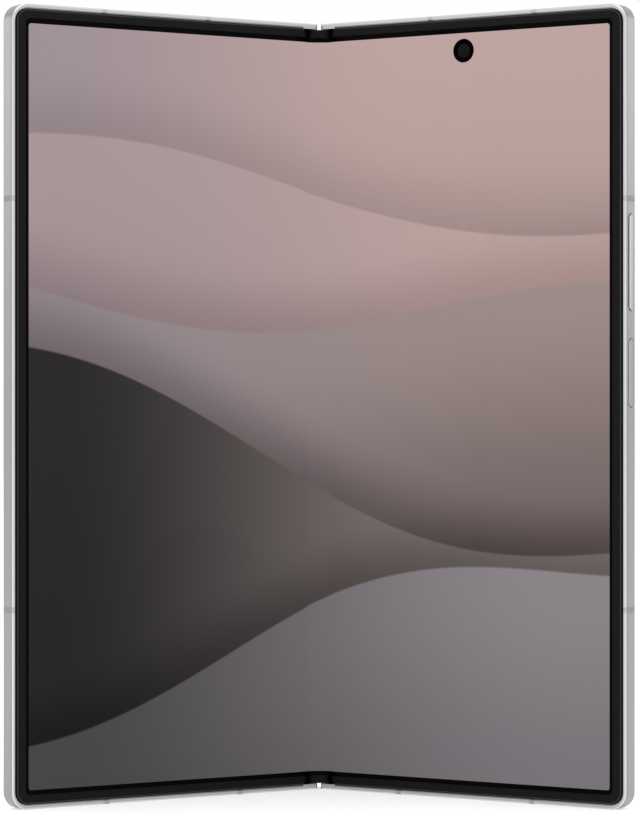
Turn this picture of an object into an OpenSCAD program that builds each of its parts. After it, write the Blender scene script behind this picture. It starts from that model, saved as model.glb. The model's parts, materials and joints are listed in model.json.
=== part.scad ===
// Book-style foldable handset with an inner folding display and a geared hinge.
// Each half is drawn flat, then turned about its own hinge axis to the rest angle.
// In the flat drawing X runs outwards from the hinge, Y runs from the display side
// to the back and Z runs up from mid-height. Lengths are in millimetres.

/* [Body] */
// Width of one half, from the hinge centre plane to the outer face
half_w = 71.6; // [66:0.1:76]
// Height of the body along the hinge
body_h = 158.4; // [150:0.1:166]
// Thickness of one half, without the camera island
body_t = 4.2; // [4.2:0.1:5]
// Radius of the outer corners of the frame
corner_r = 3.4; // [2.8:0.1:5]
// Bevel between the front lip and the side faces
front_bevel = 0.3; // [0.1:0.05:0.4]
// Rounding between the side faces and the back
rear_round = 0.5; // [0.2:0.05:0.6]
// Angle that each half is folded forwards from flat at rest
rest_angle = 32.5; // [0:0.5:60]

/* [Hinge] */
// Distance of each hinge axis from the centre plane
axis_x = 1.2; // [1.2:0.05:1.3]
// Depth of both hinge axes behind the front lip
axis_y = 0.95; // [0.9:0.05:1]
// Outer radius of the spine cover about each hinge axis
cover_r = 2.4; // [2.3:0.05:2.4]
// Wall of the spine cover
cover_wall = 0.5; // [0.4:0.05:0.5]
// Height of each rail module along the hinge
rail_len = 12; // [8:1:16]
// Distance of the rail modules from mid-height
rail_z = 47; // [35:1:60]
// Number of teeth on each synchronising gear
gear_teeth = 10; // [8:2:10]
// Tooth module of the synchronising gears
gear_module = 0.12; // [0.1:0.01:0.12]
// Depth of the gear shafts behind the front lip
gear_y = 1.8; // [1.7:0.05:1.85]

/* [Inner display] */
// Half width of the lit area of the inner display
lit_w = 68; // [64:0.1:70]
// Height of the lit area of the inner display
lit_h = 150.9; // [140:0.1:154]
// Length of display on each side of the centre that bends
bend_len = 4.5; // [4:0.1:5]
// Width of the dark border between the lit area and the bezel beside it
side_border = 0.75; // [0.3:0.05:2]
// Height of the dark border above and below the lit area
end_border = 0.9; // [0.3:0.05:2]
// Diameter of the camera opening in the inner display
punch_d = 4.8; // [3:0.1:6]

/* [Keys] */
// Height of the volume rocker opening
volume_len = 19.1; // [14:0.1:24]
// Height of the volume rocker's centre above mid-height
volume_z = 28.35; // [24:0.05:34]
// Height of the side key opening
side_key_len = 13.6; // [10:0.1:16]
// Height of the side key's centre above mid-height
side_key_z = 6.6; // [2:0.1:10]
// Width of both key openings
key_w = 2.1; // [1.6:0.1:2.4]

/* [Rear camera] */
// Width of the camera island
island_w = 17; // [14:0.5:20]
// Height of the camera island
island_h = 50; // [44:0.5:56]
// Thickness of the camera island above the rear glass
island_t = 1.1; // [0.6:0.1:2]
// Spacing between the lenses
lens_pitch = 14.6; // [13:0.1:16]
// Outer diameter of each lens ring
lens_d = 13; // [10:0.1:13.5]

/* [Hidden] */
$fn = 48;

eps = 0.01;
top_z = body_h / 2;

// Depths of the layers of a half, measured from the front lip
bezel_v = -0.2;
display_v = 0.1;
display_t = 0.4;
plate_t = 0.2;
ledge_v = 0.35;
web_v0 = display_v + display_t + plate_t;
web_v1 = 1.15;
cell_v0 = web_v1 + 0.1;
cell_v1 = 3.3;
cell_s = [14, 67];
board_v0 = 1.3;
board_v1 = 1.9;
glass_v = body_t - 0.5;
glass_t = 0.45;
apron_v = axis_y + cover_r + 0.1;

// Outlines of a half, from the hinge side to the outer side
wall = 1.5;
lip_side = 0.55;
lip_end = 0.75;
lip_r = 2.85;
bezel_gap = 0.2;
bezel_r = lip_r - bezel_gap;
bezel_clip = 0.45;
bay_s = 5;
bay_z = top_z - 1.1;
hinge_wall = 0.6;
bezel_s0 = 4.2;
apron_s = 0.12;
glass_s0 = 1.5;
glass_inset = 0.95;
glass_r = 2.45;
ledge_t = 0.5;
ledge_inset = 2.2;
glass_chamfer = 0.12;
fit_gap = 0.05;
panel_s1 = half_w - 2;
panel_z1 = top_z - 2.2;
panel_r = 1.4;
pocket_r = 1.5;

// Hinge spine
spine_z = top_z - 1.25;
cap_z = top_z - 2.85;
cover_in = cover_r - cover_wall;
seat_in = cover_in - 0.02;
support_w = 1.1;
support_v = [0.58, 0.78];
boss_r = 0.5;
rail_r0 = 0.55;
rail_r1 = 1.05;
seat_r = 1.1;
cheek_t = 1.2;
knuckle_r = 0.8;
knuckle_step = 1.15;
notch_x = 2.1;
notch_y = axis_y + seat_r + 0.05;
swing_gap = 0.4;
window_gap = 0.3;
pitch_r = gear_module * gear_teeth / 2;
idler_x = pitch_r;
driver_x = 3 * pitch_r;
shaft_r = 0.25;
gear_bore = 0.28;
gear_len = 4;
arm_z0 = 2.2;
arm_z1 = 6.4;
arm_len = 9;
housing_z = 8;
flex_z = 22;
flex_w = 10;
flex_len = 8;
flex_v = [0.82, 0.9];
bend_steps = 12;

// Keys, slots and holes in the frame
key_v = 2.2;
key_gap = 0.1;
key_flange = 0.4;
band_w = 1.2;
band_depth = 1.2;
side_bands = [40.85, -39.9];
top_bands = [27, 51];
bottom_bands = [19.5, 50.5];
usb_s = 35;
usb_v = 2.2;
usb_w = 8.8;
usb_t = 3;
usb_wall = 0.2;
usb_len = 6.5;
speaker_s = 41.6;
speaker_pitch = 1.6;
speaker_holes = 5;
speaker_d = 0.9;
mic_d = 0.6;
top_speaker_s = 42.5;
sim_s = 62;
sim_v = 2.2;
sim_w = 12;
sim_t = 0.8;
sim_depth = 15.5;
sim_face = [13.6, 1.5];

// Rear cameras
island_s = half_w - 5 - island_w / 2;
island_z = top_z - 6 - island_h / 2;
lens_z = [for (i = [-1:1]) island_z + i * lens_pitch];
island_round = 0.4;
island_inset = 1.5;
lens_rise = 0.6;
flash_s = island_s - island_w / 2 - 3.5;
flash_z = island_z + lens_pitch;
inner_cam = [34.85, 71.9];
cover_cam = [half_w / 2, 71.5];
cover_cam_d = 3.9;

// Placement of the whole part: the box of the solids is centred on X and Y
outer_front = turned([half_w, 0]);
hinge_back = turned([apron_s, body_t]);
centre_y = (outer_front[1] + hinge_back[1]) / 2;

// A point of the right half's flat drawing after it is turned by an angle
function turned(p, a = rest_angle) = let (dx = p[0] - axis_x, dy = p[1] - axis_y)
    [axis_x + dx * cos(a) + dy * sin(a), axis_y - dx * sin(a) + dy * cos(a)];

// Share of the full turn that the display takes at a distance from the centre
function bend_share(s) = let (t = min(max(s / bend_len, 0), 1)) t * t * (3 - 2 * t);

// A point at distance s and depth v of the bent display at rest, on the right side
function bent(s, v) = turned([s, v], rest_angle * bend_share(s));

module whole() {
    translate([0, -centre_y, top_z]) children();
}

module right_half() {
    whole() translate([axis_x, axis_y, 0]) rotate(-rest_angle)
        translate([-axis_x, -axis_y, 0]) children();
}

module left_half() {
    whole() mirror([1, 0, 0]) translate([axis_x, axis_y, 0]) rotate(-rest_angle)
        translate([-axis_x, -axis_y, 0]) children();
}

// Raises an X-Z outline between two depths
module slab(v0, v1) {
    translate([0, v1, 0]) rotate([90, 0, 0]) linear_extrude(v1 - v0) children();
}

// Raises an X-Y outline between two heights
module level(z0, z1) {
    translate([0, 0, z0]) linear_extrude(z1 - z0) children();
}

module both_ends() {
    children();
    mirror([0, 0, 1]) children();
}

// Outline with two rounded outer corners and a straight hinge side
module half_outline(s0, s1, h, r) {
    translate([s0, -h]) square([s1 - s0 - r, 2 * h]);
    translate([s0, r - h]) square([s1 - s0, 2 * (h - r)]);
    for (z = [r - h, h - r]) translate([s1 - r, z]) circle(r);
}

// Rectangle with four rounded corners
module rounded(size, r) {
    square([size[0] - 2 * r, size[1]], center = true);
    square([size[0], size[1] - 2 * r], center = true);
    for (x = [-1, 1], y = [-1, 1])
        translate([x * (size[0] / 2 - r), y * (size[1] / 2 - r)]) circle(r);
}

// Stadium along the second axis
module pill(w, len) {
    square([w, len - w], center = true);
    for (y = [-1, 1]) translate([0, y * (len - w) / 2]) circle(w / 2);
}

// Stadium plate along Z whose edge follows the profile given as the child, which is
// drawn on one side of the middle
module pill_plate(w, len) {
    straight = (len - w) / 2;
    level(-straight, straight) {
        children();
        mirror([1, 0, 0]) children();
    }
    for (z = [-straight, straight]) translate([0, 0, z]) rotate([-90, 0, 0])
        rotate_extrude() children();
}

// Box between two corners
module block(low, high) {
    translate(low) cube(high - low);
}

// Plate whose three outer edges follow the profile given as the child, which is
// drawn with its outer face on X = 0 and reaches inwards to X = -r
module edged_plate(s0, s1, h, r, v0, v1) {
    block([s0, v0, r - h], [s1 - r, v1, h - r]);
    translate([s1, 0, 0]) level(r - h, h - r) children();
    both_ends() {
        translate([s1 - r, 0, h]) rotate([0, -90, 0]) linear_extrude(s1 - r - s0) children();
        translate([s1 - r, 0, r - h]) rotate([-90, 0, 0])
            rotate_extrude(angle = 90) translate([r, 0]) children();
    }
}

// ---- Frame of a half -------------------------------------------------------

module frame_edge() {
    polygon([
        [-corner_r, 0], [-front_bevel, 0], [0, front_bevel], [0, body_t - rear_round],
        [-rear_round, body_t], [-corner_r, body_t]
    ]);
    translate([-rear_round, body_t - rear_round]) circle(rear_round);
}

// End of the top and bottom walls beside the hinge, clear of the other half
module knuckle_end() {
    nose = axis_x - knuckle_r + 0.02;
    translate([axis_x, axis_y]) circle(knuckle_r);
    polygon([
        [axis_x + 0.1, axis_y], [nose, axis_y], [nose, axis_y + 0.25],
        [apron_s, axis_y + knuckle_step], [apron_s, body_t], [axis_x + 0.1, body_t]
    ]);
}

module half_body() {
    difference() {
        edged_plate(apron_s, half_w, top_z, corner_r, 0, body_t) frame_edge();
        level(-top_z - 1, top_z + 1) difference() {
            translate([-1, -1]) square([axis_x + 1, body_t + 2]);
            knuckle_end();
        }
        block([-1, -1, -bay_z], [bay_s, apron_v, bay_z]);
        slab(-1, ledge_v) half_outline(bezel_s0, half_w - lip_side, top_z - lip_end, lip_r);
        slab(0, web_v0)
            half_outline(bezel_s0, panel_s1 + fit_gap, panel_z1 + fit_gap, pocket_r);
        slab(web_v1, body_t)
            half_outline(bay_s + hinge_wall, half_w - wall, top_z - wall, 2);
        slab(glass_v, body_t + 1)
            half_outline(glass_s0, half_w - glass_inset, top_z - glass_inset, glass_r);
    }
    // Ledge that the back panel is bonded to
    slab(glass_v - ledge_t, glass_v) difference() {
        half_outline(bay_s, half_w - glass_inset + eps, top_z - glass_inset + eps, glass_r);
        half_outline(bay_s + 1.6, half_w - ledge_inset, top_z - ledge_inset, 1.8);
    }
}

// Windows that let the hinge rails, the sync arm and the flex cables into a half
module hinge_windows() {
    window_s = [bay_s - 1, bay_s + hinge_wall + 1];
    for (z = [-rail_z, rail_z])
        block([window_s[0], web_v1, z - rail_len / 2 - window_gap],
              [window_s[1], web_v1 + 1, z + rail_len / 2 + window_gap]);
    block([window_s[0], web_v1, arm_z0 - swing_gap],
          [window_s[1], web_v1 + 1.3, arm_z1 + swing_gap]);
    for (z = [-flex_z, flex_z])
        block([window_s[0], 0, z - flex_w / 2 - window_gap],
              [flex_len + window_gap, web_v1 + 1, z + flex_w / 2 + window_gap]);
}

// Slots across the walls where the antenna windows are moulded in
module band_slots() {
    depth = band_depth;
    for (z = side_bands)
        block([half_w - depth, -1, z - band_w / 2], [half_w + 1, body_t + 1, z + band_w / 2]);
    for (s = top_bands)
        block([s - band_w / 2, -1, top_z - depth], [s + band_w / 2, body_t + 1, top_z + 1]);
    for (s = bottom_bands)
        block([s - band_w / 2, -1, -top_z - 1], [s + band_w / 2, body_t + 1, depth - top_z]);
}

module antenna_bands() {
    color("dimgray") intersection() {
        half_body();
        band_slots();
    }
}

// Openings through the top or bottom wall
module end_hole(s, v, d, up = true) {
    translate([s, v, up ? top_z - 3 : -top_z - 1]) cylinder(d = d, h = 4);
}

module key_slot(z, len, grow = 0) {
    translate([half_w - wall - 1, key_v, z]) rotate([90, 0, 90])
        linear_extrude(wall + 2) pill(key_w + grow, len + grow);
}

module right_frame() {
    color("silver") right_half() difference() {
        half_body();
        band_slots();
        hinge_windows();
        key_slot(volume_z, volume_len);
        key_slot(side_key_z, side_key_len);
        // Opening in front of the USB-C receptacle
        translate([usb_s, usb_v, -top_z - 1]) linear_extrude(usb_len + 1.6)
            rotate(90) pill(usb_t, usb_w);
        for (i = [0:speaker_holes - 1])
            end_hole(speaker_s + i * speaker_pitch, usb_v, speaker_d, false);
        end_hole(26, usb_v, mic_d, false);
        end_hole(40, usb_v, mic_d);
        // Window in the web for the inner camera
        translate([inner_cam[0], -1, inner_cam[1]]) rotate([-90, 0, 0])
            cylinder(d = punch_d + 1, h = web_v1 + 2);
    }
}

module left_frame() {
    color("silver") left_half() difference() {
        half_body();
        band_slots();
        hinge_windows();
        // Slot for the card tray
        translate([sim_s - sim_face[0] / 2 - 0.1, sim_v - sim_face[1] / 2 - 0.1, top_z - wall - 1])
            cube([sim_face[0] + 0.2, sim_face[1] + 0.2, wall + 2]);
        for (i = [0:speaker_holes - 1])
            end_hole(top_speaker_s + i * speaker_pitch, usb_v, speaker_d);
        end_hole(33, usb_v, mic_d, false);
    }
}

// ---- Inner display and bezels ----------------------------------------------

module bezel_edge() {
    round_r = 0.25;
    polygon([
        [-bezel_r, bezel_v], [-round_r, bezel_v], [0, bezel_v + round_r],
        [0, ledge_v], [-bezel_r, ledge_v]
    ]);
    translate([-round_r, bezel_v + round_r]) circle(round_r);
}

// Raised trim on three sides of a half, with clipped corners beside the hinge
module bezel() {
    s1 = half_w - lip_side - bezel_gap;
    h = top_z - lip_end - bezel_gap;
    color("black") difference() {
        edged_plate(bezel_s0, s1, h, bezel_r, bezel_v, ledge_v) bezel_edge();
        slab(-1, 1)
            half_outline(bezel_s0 - 1, lit_w + side_border, lit_h / 2 + end_border, 1);
        slab(display_v, 1)
            half_outline(bezel_s0 - 1, panel_s1 + fit_gap, panel_z1 + fit_gap, pocket_r);
        both_ends() slab(-1, 1)
            polygon([[bezel_s0 - 1, h + 1], [bezel_s0 - 1, h - bezel_clip - 1],
                     [bezel_s0, h - bezel_clip], [bezel_s0 + bezel_clip, h],
                     [bezel_s0 + bezel_clip + 1, h + 1]]);
    }
}

module display_panel(hole) {
    color("dimgray") difference() {
        slab(display_v, display_v + display_t) half_outline(bend_len, panel_s1, panel_z1, panel_r);
        if (hole) translate([inner_cam[0], 0, inner_cam[1]]) rotate([-90, 0, 0])
            cylinder(d = punch_d, h = 2);
    }
}

module display_plate(hole) {
    color("gray") difference() {
        slab(display_v + display_t, web_v0) half_outline(bay_s + 0.1, panel_s1, panel_z1, panel_r);
        if (hole) translate([inner_cam[0], 0, inner_cam[1]]) rotate([-90, 0, 0])
            cylinder(d = punch_d + 0.6, h = 2);
        for (z = [-flex_z, flex_z])
            block([bay_s, 0, z - flex_w / 2 - window_gap],
                  [flex_len + window_gap, 2, z + flex_w / 2 + window_gap]);
    }
}

// Sheet between two depths that follows the bend of the display at rest
module bent_sheet(len, v0, v1, h) {
    stations = [for (i = [-bend_steps:bend_steps]) i / bend_steps * len];
    function place(s, v) = let (p = bent(abs(s), v)) [s < 0 ? -p[0] : p[0], p[1]];
    front = [for (s = stations) place(s, v0)];
    back = [for (i = [len(stations) - 1:-1:0]) place(stations[i], v1)];
    level(-h, h) polygon(concat(front, back));
}

module inner_display_fold() {
    color("dimgray") whole()
        bent_sheet(bend_len, display_v, display_v + display_t, cap_z - 0.1);
}

module fold_support_plate() {
    color("gray") whole()
        block([-support_w / 2, support_v[0], 0.5 - cap_z], [support_w / 2, support_v[1], cap_z - 0.5]);
}

module hinge_flex_cables() {
    color("darkorange") whole() for (z = [-flex_z, flex_z])
        translate([0, 0, z]) bent_sheet(flex_len, flex_v[0], flex_v[1], flex_w / 2);
}

// ---- Hinge spine -----------------------------------------------------------

// Rounded channel section behind both axes, with a given radius
module channel(r) {
    intersection() {
        union() {
            translate([-axis_x, axis_y - 3]) square([2 * axis_x, r + 3]);
            for (x = [-axis_x, axis_x]) translate([x, axis_y]) circle(r);
        }
        translate([-5, axis_y]) square([10, 5]);
    }
}

module hinge_spine_cover() {
    color("slategray") whole() difference() {
        level(-cap_z, cap_z) channel(cover_r);
        level(-cap_z - 1, cap_z + 1) {
            channel(cover_in);
            translate([-axis_x - cover_in, 0]) square([2 * (axis_x + cover_in), axis_y + eps]);
        }
        // Notches that the rails and the sync arms swing through
        for (side = [0, 1]) mirror([side, 0, 0]) {
            for (z = [-rail_z, rail_z])
                block([notch_x, 0, z - rail_len / 2 - swing_gap],
                      [notch_x + 2, notch_y, z + rail_len / 2 + swing_gap]);
            block([notch_x, 0, arm_z0 - swing_gap],
                  [notch_x + 2, notch_y + 0.05, arm_z1 + swing_gap]);
        }
    }
}

// Barrel-fronted plug that closes one end of the spine
module hinge_cap() {
    barrel_r = 5;
    barrel_y = barrel_r + 0.15;
    color("black") whole() level(cap_z, spine_z) {
        channel(cover_r);
        intersection() {
            translate([0, barrel_y]) circle(barrel_r);
            translate([-5, 0]) square([10, axis_y + eps]);
        }
    }
}

module hinge_cap_top() {
    hinge_cap();
}

module hinge_cap_bottom() {
    translate([0, 0, body_h]) mirror([0, 0, 1]) hinge_cap();
}

// Pad that the support plate behind the fold rests on
module support_pad() {
    translate([-0.5, support_v[1]]) square([1, 0.3]);
}

// Seat for the rails of both halves: cheeks carry the two bosses, and the rails
// slide round between each boss and the hollow seat
module rail_bracket(z0) {
    half = rail_len / 2 + 0.1;
    color("lightsteelblue") whole() translate([0, 0, z0]) {
        level(-half - cheek_t, half + cheek_t) intersection() {
            channel(seat_in);
            translate([-5, notch_y]) square([10, 5]);
        }
        level(-half, half) difference() {
            translate([-axis_x, axis_y + 0.2]) square([2 * axis_x, notch_y - axis_y - 0.2 + eps]);
            for (x = [-axis_x, axis_x]) translate([x, axis_y]) circle(seat_r);
        }
        for (z = [-half - cheek_t, half]) level(z, z + cheek_t) {
            intersection() {
                channel(seat_in);
                translate([-5, axis_y]) square([10, notch_y - axis_y + eps]);
            }
            support_pad();
        }
        level(-half - eps, half + eps) for (x = [-axis_x, axis_x]) intersection() {
            translate([x, axis_y]) circle(boss_r);
            translate([-5, axis_y]) square([10, 5]);
        }
    }
}

module rail_bracket_upper() {
    rail_bracket(rail_z);
}

module rail_bracket_lower() {
    rail_bracket(-rail_z);
}

// Quarter ring about the hinge axis, its arm and the foot screwed into the half
module hinge_rail() {
    foot = [bay_s + hinge_wall + 0.1, bay_s + hinge_wall + 4.5];
    level(-rail_len / 2, rail_len / 2) {
        intersection() {
            translate([axis_x, axis_y]) difference() {
                circle(rail_r1);
                circle(rail_r0);
            }
            translate([axis_x - 2, axis_y]) square([2, 2]);
        }
        translate([axis_x - eps, axis_y + rail_r0])
            square([foot[0] - axis_x + 1, rail_r1 - rail_r0]);
        translate([foot[0], web_v1]) square([foot[1] - foot[0], axis_y + rail_r1 - web_v1]);
    }
}

// Channel that the sync arm slides along inside a half
module arm_guide() {
    s = [bay_s + hinge_wall + 0.1, bay_s + hinge_wall + 6.5];
    cheek = 1;
    roof_v = [2.6, 2.85];
    for (z = [arm_z0 - 0.1 - cheek, arm_z1 + 0.1])
        block([s[0], web_v1, z], [s[1], roof_v[0], z + cheek]);
    block([s[0], roof_v[0] - eps, arm_z0 - 0.1 - cheek], [s[1], roof_v[1], arm_z1 + 0.1 + cheek]);
}

module hinge_rails() {
    color("lightsteelblue") {
        for (z = [-rail_z, rail_z]) translate([0, 0, z]) hinge_rail();
        arm_guide();
    }
}

// ---- Synchronising gears ---------------------------------------------------

// Spur gear with straight-flanked teeth, the first one centred at the phase angle
module spur_gear(phase) {
    addendum = gear_module;
    root_r = pitch_r - 1.2 * gear_module;
    tip_r = pitch_r + addendum;
    step = 360 / gear_teeth;
    rotate(phase) {
        circle(root_r);
        for (i = [0:gear_teeth - 1]) rotate(i * step)
            polygon([
                [root_r * 0.7, -0.29 * step / 57.3 * pitch_r],
                [pitch_r, -0.22 * step / 57.3 * pitch_r], [tip_r, -0.1 * step / 57.3 * pitch_r],
                [tip_r, 0.1 * step / 57.3 * pitch_r], [pitch_r, 0.22 * step / 57.3 * pitch_r],
                [root_r * 0.7, 0.29 * step / 57.3 * pitch_r]
            ]);
    }
}

// Gear with a leaf that reaches into the guide of the half it drives
module sync_arm(phase) {
    leaf_v = [-0.1, 0.25];
    color("gold") difference() {
        union() {
            level(-gear_len / 2, gear_len / 2) spur_gear(phase);
            level(gear_len / 2 - eps, arm_z1) circle(0.45);
            level(arm_z0, arm_z1) translate([0, leaf_v[0]]) square([arm_len, leaf_v[1] - leaf_v[0]]);
        }
        level(-gear_len, arm_z1 + 1) circle(gear_bore);
    }
}

module sync_arm_right() {
    whole() translate([driver_x, gear_y, 0]) rotate(-rest_angle) sync_arm(0);
}

module sync_arm_left() {
    whole() mirror([1, 0, 0]) translate([driver_x, gear_y, 0]) rotate(-rest_angle)
        sync_arm(180 / gear_teeth);
}

module sync_idler(phase) {
    color("gold") level(-gear_len / 2, gear_len / 2) difference() {
        spur_gear(phase);
        circle(gear_bore);
    }
}

module sync_idler_right() {
    whole() translate([idler_x, gear_y, 0]) rotate(rest_angle) sync_idler(180 / gear_teeth);
}

module sync_idler_left() {
    whole() translate([-idler_x, gear_y, 0]) rotate(-rest_angle) sync_idler(0);
}

module sync_shafts() {
    color("white") whole() for (x = [-driver_x, -idler_x, idler_x, driver_x])
        translate([x, gear_y, -housing_z - 1]) cylinder(r = shaft_r, h = 2 * housing_z + 2);
}

// End plates and floor that carry the four shafts
module sync_housing() {
    color("lightsteelblue") whole() difference() {
        for (z = [-housing_z - cheek_t / 2, housing_z - cheek_t / 2]) level(z, z + cheek_t) {
            channel(seat_in);
            support_pad();
        }
        for (x = [-driver_x, -idler_x, idler_x, driver_x])
            translate([x, gear_y, -housing_z - 2]) cylinder(r = shaft_r + 0.01, h = 2 * housing_z + 4);
    }
}

// Spring washers, dished alternately, that load the two driving shafts
module torque_washers() {
    count = 8;
    pitch = 0.6;
    color("white") whole() for (x = [-driver_x, driver_x], i = [0:count - 1])
        translate([x, gear_y, -gear_len / 2 - 0.4 - i * pitch]) mirror([0, 0, i % 2])
            rotate_extrude() polygon([
                [shaft_r + 0.02, 0], [0.55, -0.15], [0.55, 0], [shaft_r + 0.02, 0.15]
            ]);
}

// ---- Right half: keys ------------------------------------------------------

module key(z, len, rise) {
    inner_s = half_w - wall - 0.3;
    edge = 0.08;
    color("silver") translate([0, key_v, z]) rotate([90, 0, 90]) {
        translate([0, 0, inner_s - eps]) linear_extrude(half_w + rise - edge - inner_s + eps)
            pill(key_w - 2 * key_gap, len - 2 * key_gap);
        translate([0, 0, half_w + rise - edge - eps]) linear_extrude(edge + eps)
            pill(key_w - 2 * key_gap - 2 * edge, len - 2 * key_gap - 2 * edge);
        translate([0, 0, inner_s - key_flange]) linear_extrude(key_flange)
            rounded([key_w - 0.3, len + 0.8], 0.4);
    }
}

module volume_key() {
    right_half() key(volume_z, volume_len, 0.2);
}

module side_key() {
    right_half() key(side_key_z, side_key_len, 0.05);
}

// Strip with the dome switches behind the keys
module key_flex() {
    s = half_w - wall - 1.6;
    domes = [volume_z - 6, volume_z + 6, side_key_z];
    color("darkorange") right_half() {
        block([s, key_v - 0.9, side_key_z - 8], [s + 0.15, key_v + 0.9, volume_z + 10]);
        for (z = domes) translate([s + 0.15 - eps, key_v, z]) rotate([0, 90, 0])
            cylinder(r1 = 0.8, r2 = 0.5, h = 0.3);
    }
}

// ---- Backs of the halves ---------------------------------------------------

module back_edge(r) {
    back = glass_v + glass_t;
    polygon([
        [-r, glass_v], [0, glass_v], [0, back - glass_chamfer], [-glass_chamfer, back], [-r, back]
    ]);
}

module back_panel() {
    inset = glass_inset + fit_gap;
    r = glass_r - fit_gap;
    edged_plate(glass_s0 + fit_gap, half_w - inset, top_z - inset, r, glass_v, glass_v + glass_t)
        back_edge(r);
}

module rear_glass() {
    color("darkslategray") right_half() difference() {
        back_panel();
        translate([island_s, 0, island_z]) slab(1, body_t + 1)
            pill(island_w - 2 * island_inset, island_h - 2 * island_inset);
        translate([flash_s, 1, flash_z]) rotate([-90, 0, 0]) cylinder(d = 3.2, h = 5);
    }
}

module cover_glass() {
    color("black") left_half() difference() {
        back_panel();
        translate([cover_cam[0], 1, cover_cam[1]]) rotate([-90, 0, 0])
            cylinder(d = cover_cam_d + 0.1, h = 5);
    }
}

module cover_display() {
    color("dimgray") left_half() difference() {
        slab(glass_v - 0.3, glass_v)
            half_outline(glass_s0 + 6, half_w - 2.6, top_z - 2.6, 1.5);
        translate([cover_cam[0], 1, cover_cam[1]]) rotate([-90, 0, 0])
            cylinder(d = cover_cam_d + 0.7, h = 5);
    }
}

// Section of the camera island: a narrow foot on the glass and a rounded rim
module island_edge() {
    foot_v = glass_v + glass_t;
    top_v = body_t + island_t;
    rim = island_w / 2 - island_round;
    polygon([
        [0, foot_v], [island_w / 2 - 0.15, foot_v], [island_w / 2 - 0.15, foot_v + 0.2],
        [island_w / 2, foot_v + 0.2], [island_w / 2, top_v - island_round], [rim, top_v], [0, top_v]
    ]);
    translate([rim, top_v - island_round]) circle(island_round);
}

module camera_island() {
    color("silver") right_half() translate([island_s, 0, island_z]) difference() {
        union() {
            pill_plate(island_w, island_h) island_edge();
            slab(glass_v + 0.02, glass_v + glass_t + eps)
                pill(island_w - 2 * island_inset - 0.1, island_h - 2 * island_inset - 0.1);
        }
        for (z = [-1:1]) translate([0, 0, z * lens_pitch]) rotate([-90, 0, 0])
            cylinder(d = lens_d - 2, h = 9);
    }
}

// Turned ring with a flange on the island, a bright crown and a bevel down to the window
module camera_lens_rings() {
    r = lens_d / 2;
    crown = island_t + lens_rise;
    color("gray") right_half() for (z = lens_z) translate([island_s, body_t, z])
        rotate([-90, 0, 0]) rotate_extrude() polygon([
            [r - 1.02, -0.6], [r - 1.02, island_t], [r - 0.1, island_t],
            [r - 0.1, island_t + 0.2], [r - 0.35, island_t + 0.2], [r - 0.4, crown - 0.1],
            [r - 0.5, crown], [r - 1.3, crown], [r - 1.9, island_t + 0.2], [r - 1.9, -0.6]
        ]);
}

module camera_lenses() {
    color("black") right_half() for (z = lens_z) translate([island_s, body_t + island_t - 0.3, z])
        rotate([-90, 0, 0]) cylinder(d = lens_d - 3.9, h = 0.4);
}

// Sensor housing and stepped barrel behind each lens
module rear_cameras() {
    body_v = glass_v - 0.55;
    color("dimgray") right_half() for (z = lens_z) translate([island_s, 0, z]) {
        slab(web_v1 + 0.05, body_v) rounded([11.5, 12.5], 1);
        translate([0, body_v - eps, 0]) rotate([-90, 0, 0]) cylinder(d = lens_d - 4.4, h = 1);
        translate([0, glass_v, 0]) rotate([-90, 0, 0]) cylinder(d = 7, h = island_t - 0.1);
    }
}

module flash_led() {
    color("lightyellow") right_half() translate([flash_s, glass_v - 0.5, flash_z])
        rotate([-90, 0, 0]) {
            cylinder(d = 3.1, h = 0.95);
            translate([0, 0, -0.4]) cylinder(d = 4, h = 0.4 + eps);
        }
}

module inner_camera() {
    color("black") right_half() translate([inner_cam[0], 0, inner_cam[1]]) {
        translate([0, 0.2, 0]) rotate([-90, 0, 0]) cylinder(d = punch_d - 0.1, h = 1.6);
        slab(1.2, 3) rounded([6.4, 6.4], 0.6);
    }
}

module cover_camera() {
    color("black") left_half() translate([cover_cam[0], 0, cover_cam[1]]) {
        translate([0, 3, 0]) rotate([-90, 0, 0]) cylinder(d = cover_cam_d, h = body_t - 3.15);
        slab(1.2, 3.1) rounded([6, 6], 0.6);
    }
}

// ---- Electronics -----------------------------------------------------------

// L-shaped main board beside the cameras
module main_board() {
    color("darkgreen") right_half() slab(board_v0, board_v1) difference() {
        union() {
            translate([14, 21]) square([36, 55]);
            translate([14, 21]) square([54, 5.5]);
        }
        translate([inner_cam[0], inner_cam[1]]) square([7, 7], center = true);
    }
}

module board_shields() {
    cans = [[16, 32, 18, 16], [36, 32, 12, 20], [16, 52, 14, 14], [32, 55, 10, 11]];
    color("lightgray") right_half() for (c = cans)
        translate([c[0] + c[2] / 2, 0, c[1] + c[3] / 2]) {
            slab(board_v1, 2.9) rounded([c[2], c[3]], 0.5);
            slab(2.9 - eps, 3) rounded([c[2] - 0.6, c[3] - 0.6], 0.5);
        }
}

// Pouch cell with its folded edge and the protection circuit at the top
module battery(s0, s1, z0, z1) {
    fold = 1.2;
    size = [s1 - s0, z1 - z0 - 3];
    color("black") translate([(s0 + s1) / 2, 0, (z0 + z1 - 3) / 2]) {
        slab(cell_v0, cell_v1) rounded([size[0] - 2 * fold, size[1]], 1);
        slab(cell_v0 + 0.3, cell_v0 + 0.9) rounded(size, 1);
        slab(cell_v0, cell_v0 + 1.2) translate([-size[0] / 2 + 4, size[1] / 2 - eps])
            square([size[0] - 8, 3]);
    }
}

module right_battery() {
    right_half() battery(cell_s[0], cell_s[1], -60, 20);
}

module left_battery() {
    left_half() battery(cell_s[0], cell_s[1], -60, 52);
}

module charging_coil() {
    turns = 5;
    color("peru") right_half() translate([36, cell_v1 + 0.02, -14]) rotate([-90, 0, 0])
        rotate_extrude() for (i = [0:turns - 1]) translate([12 + i * 2, 0]) square([1.6, 0.3]);
}

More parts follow.
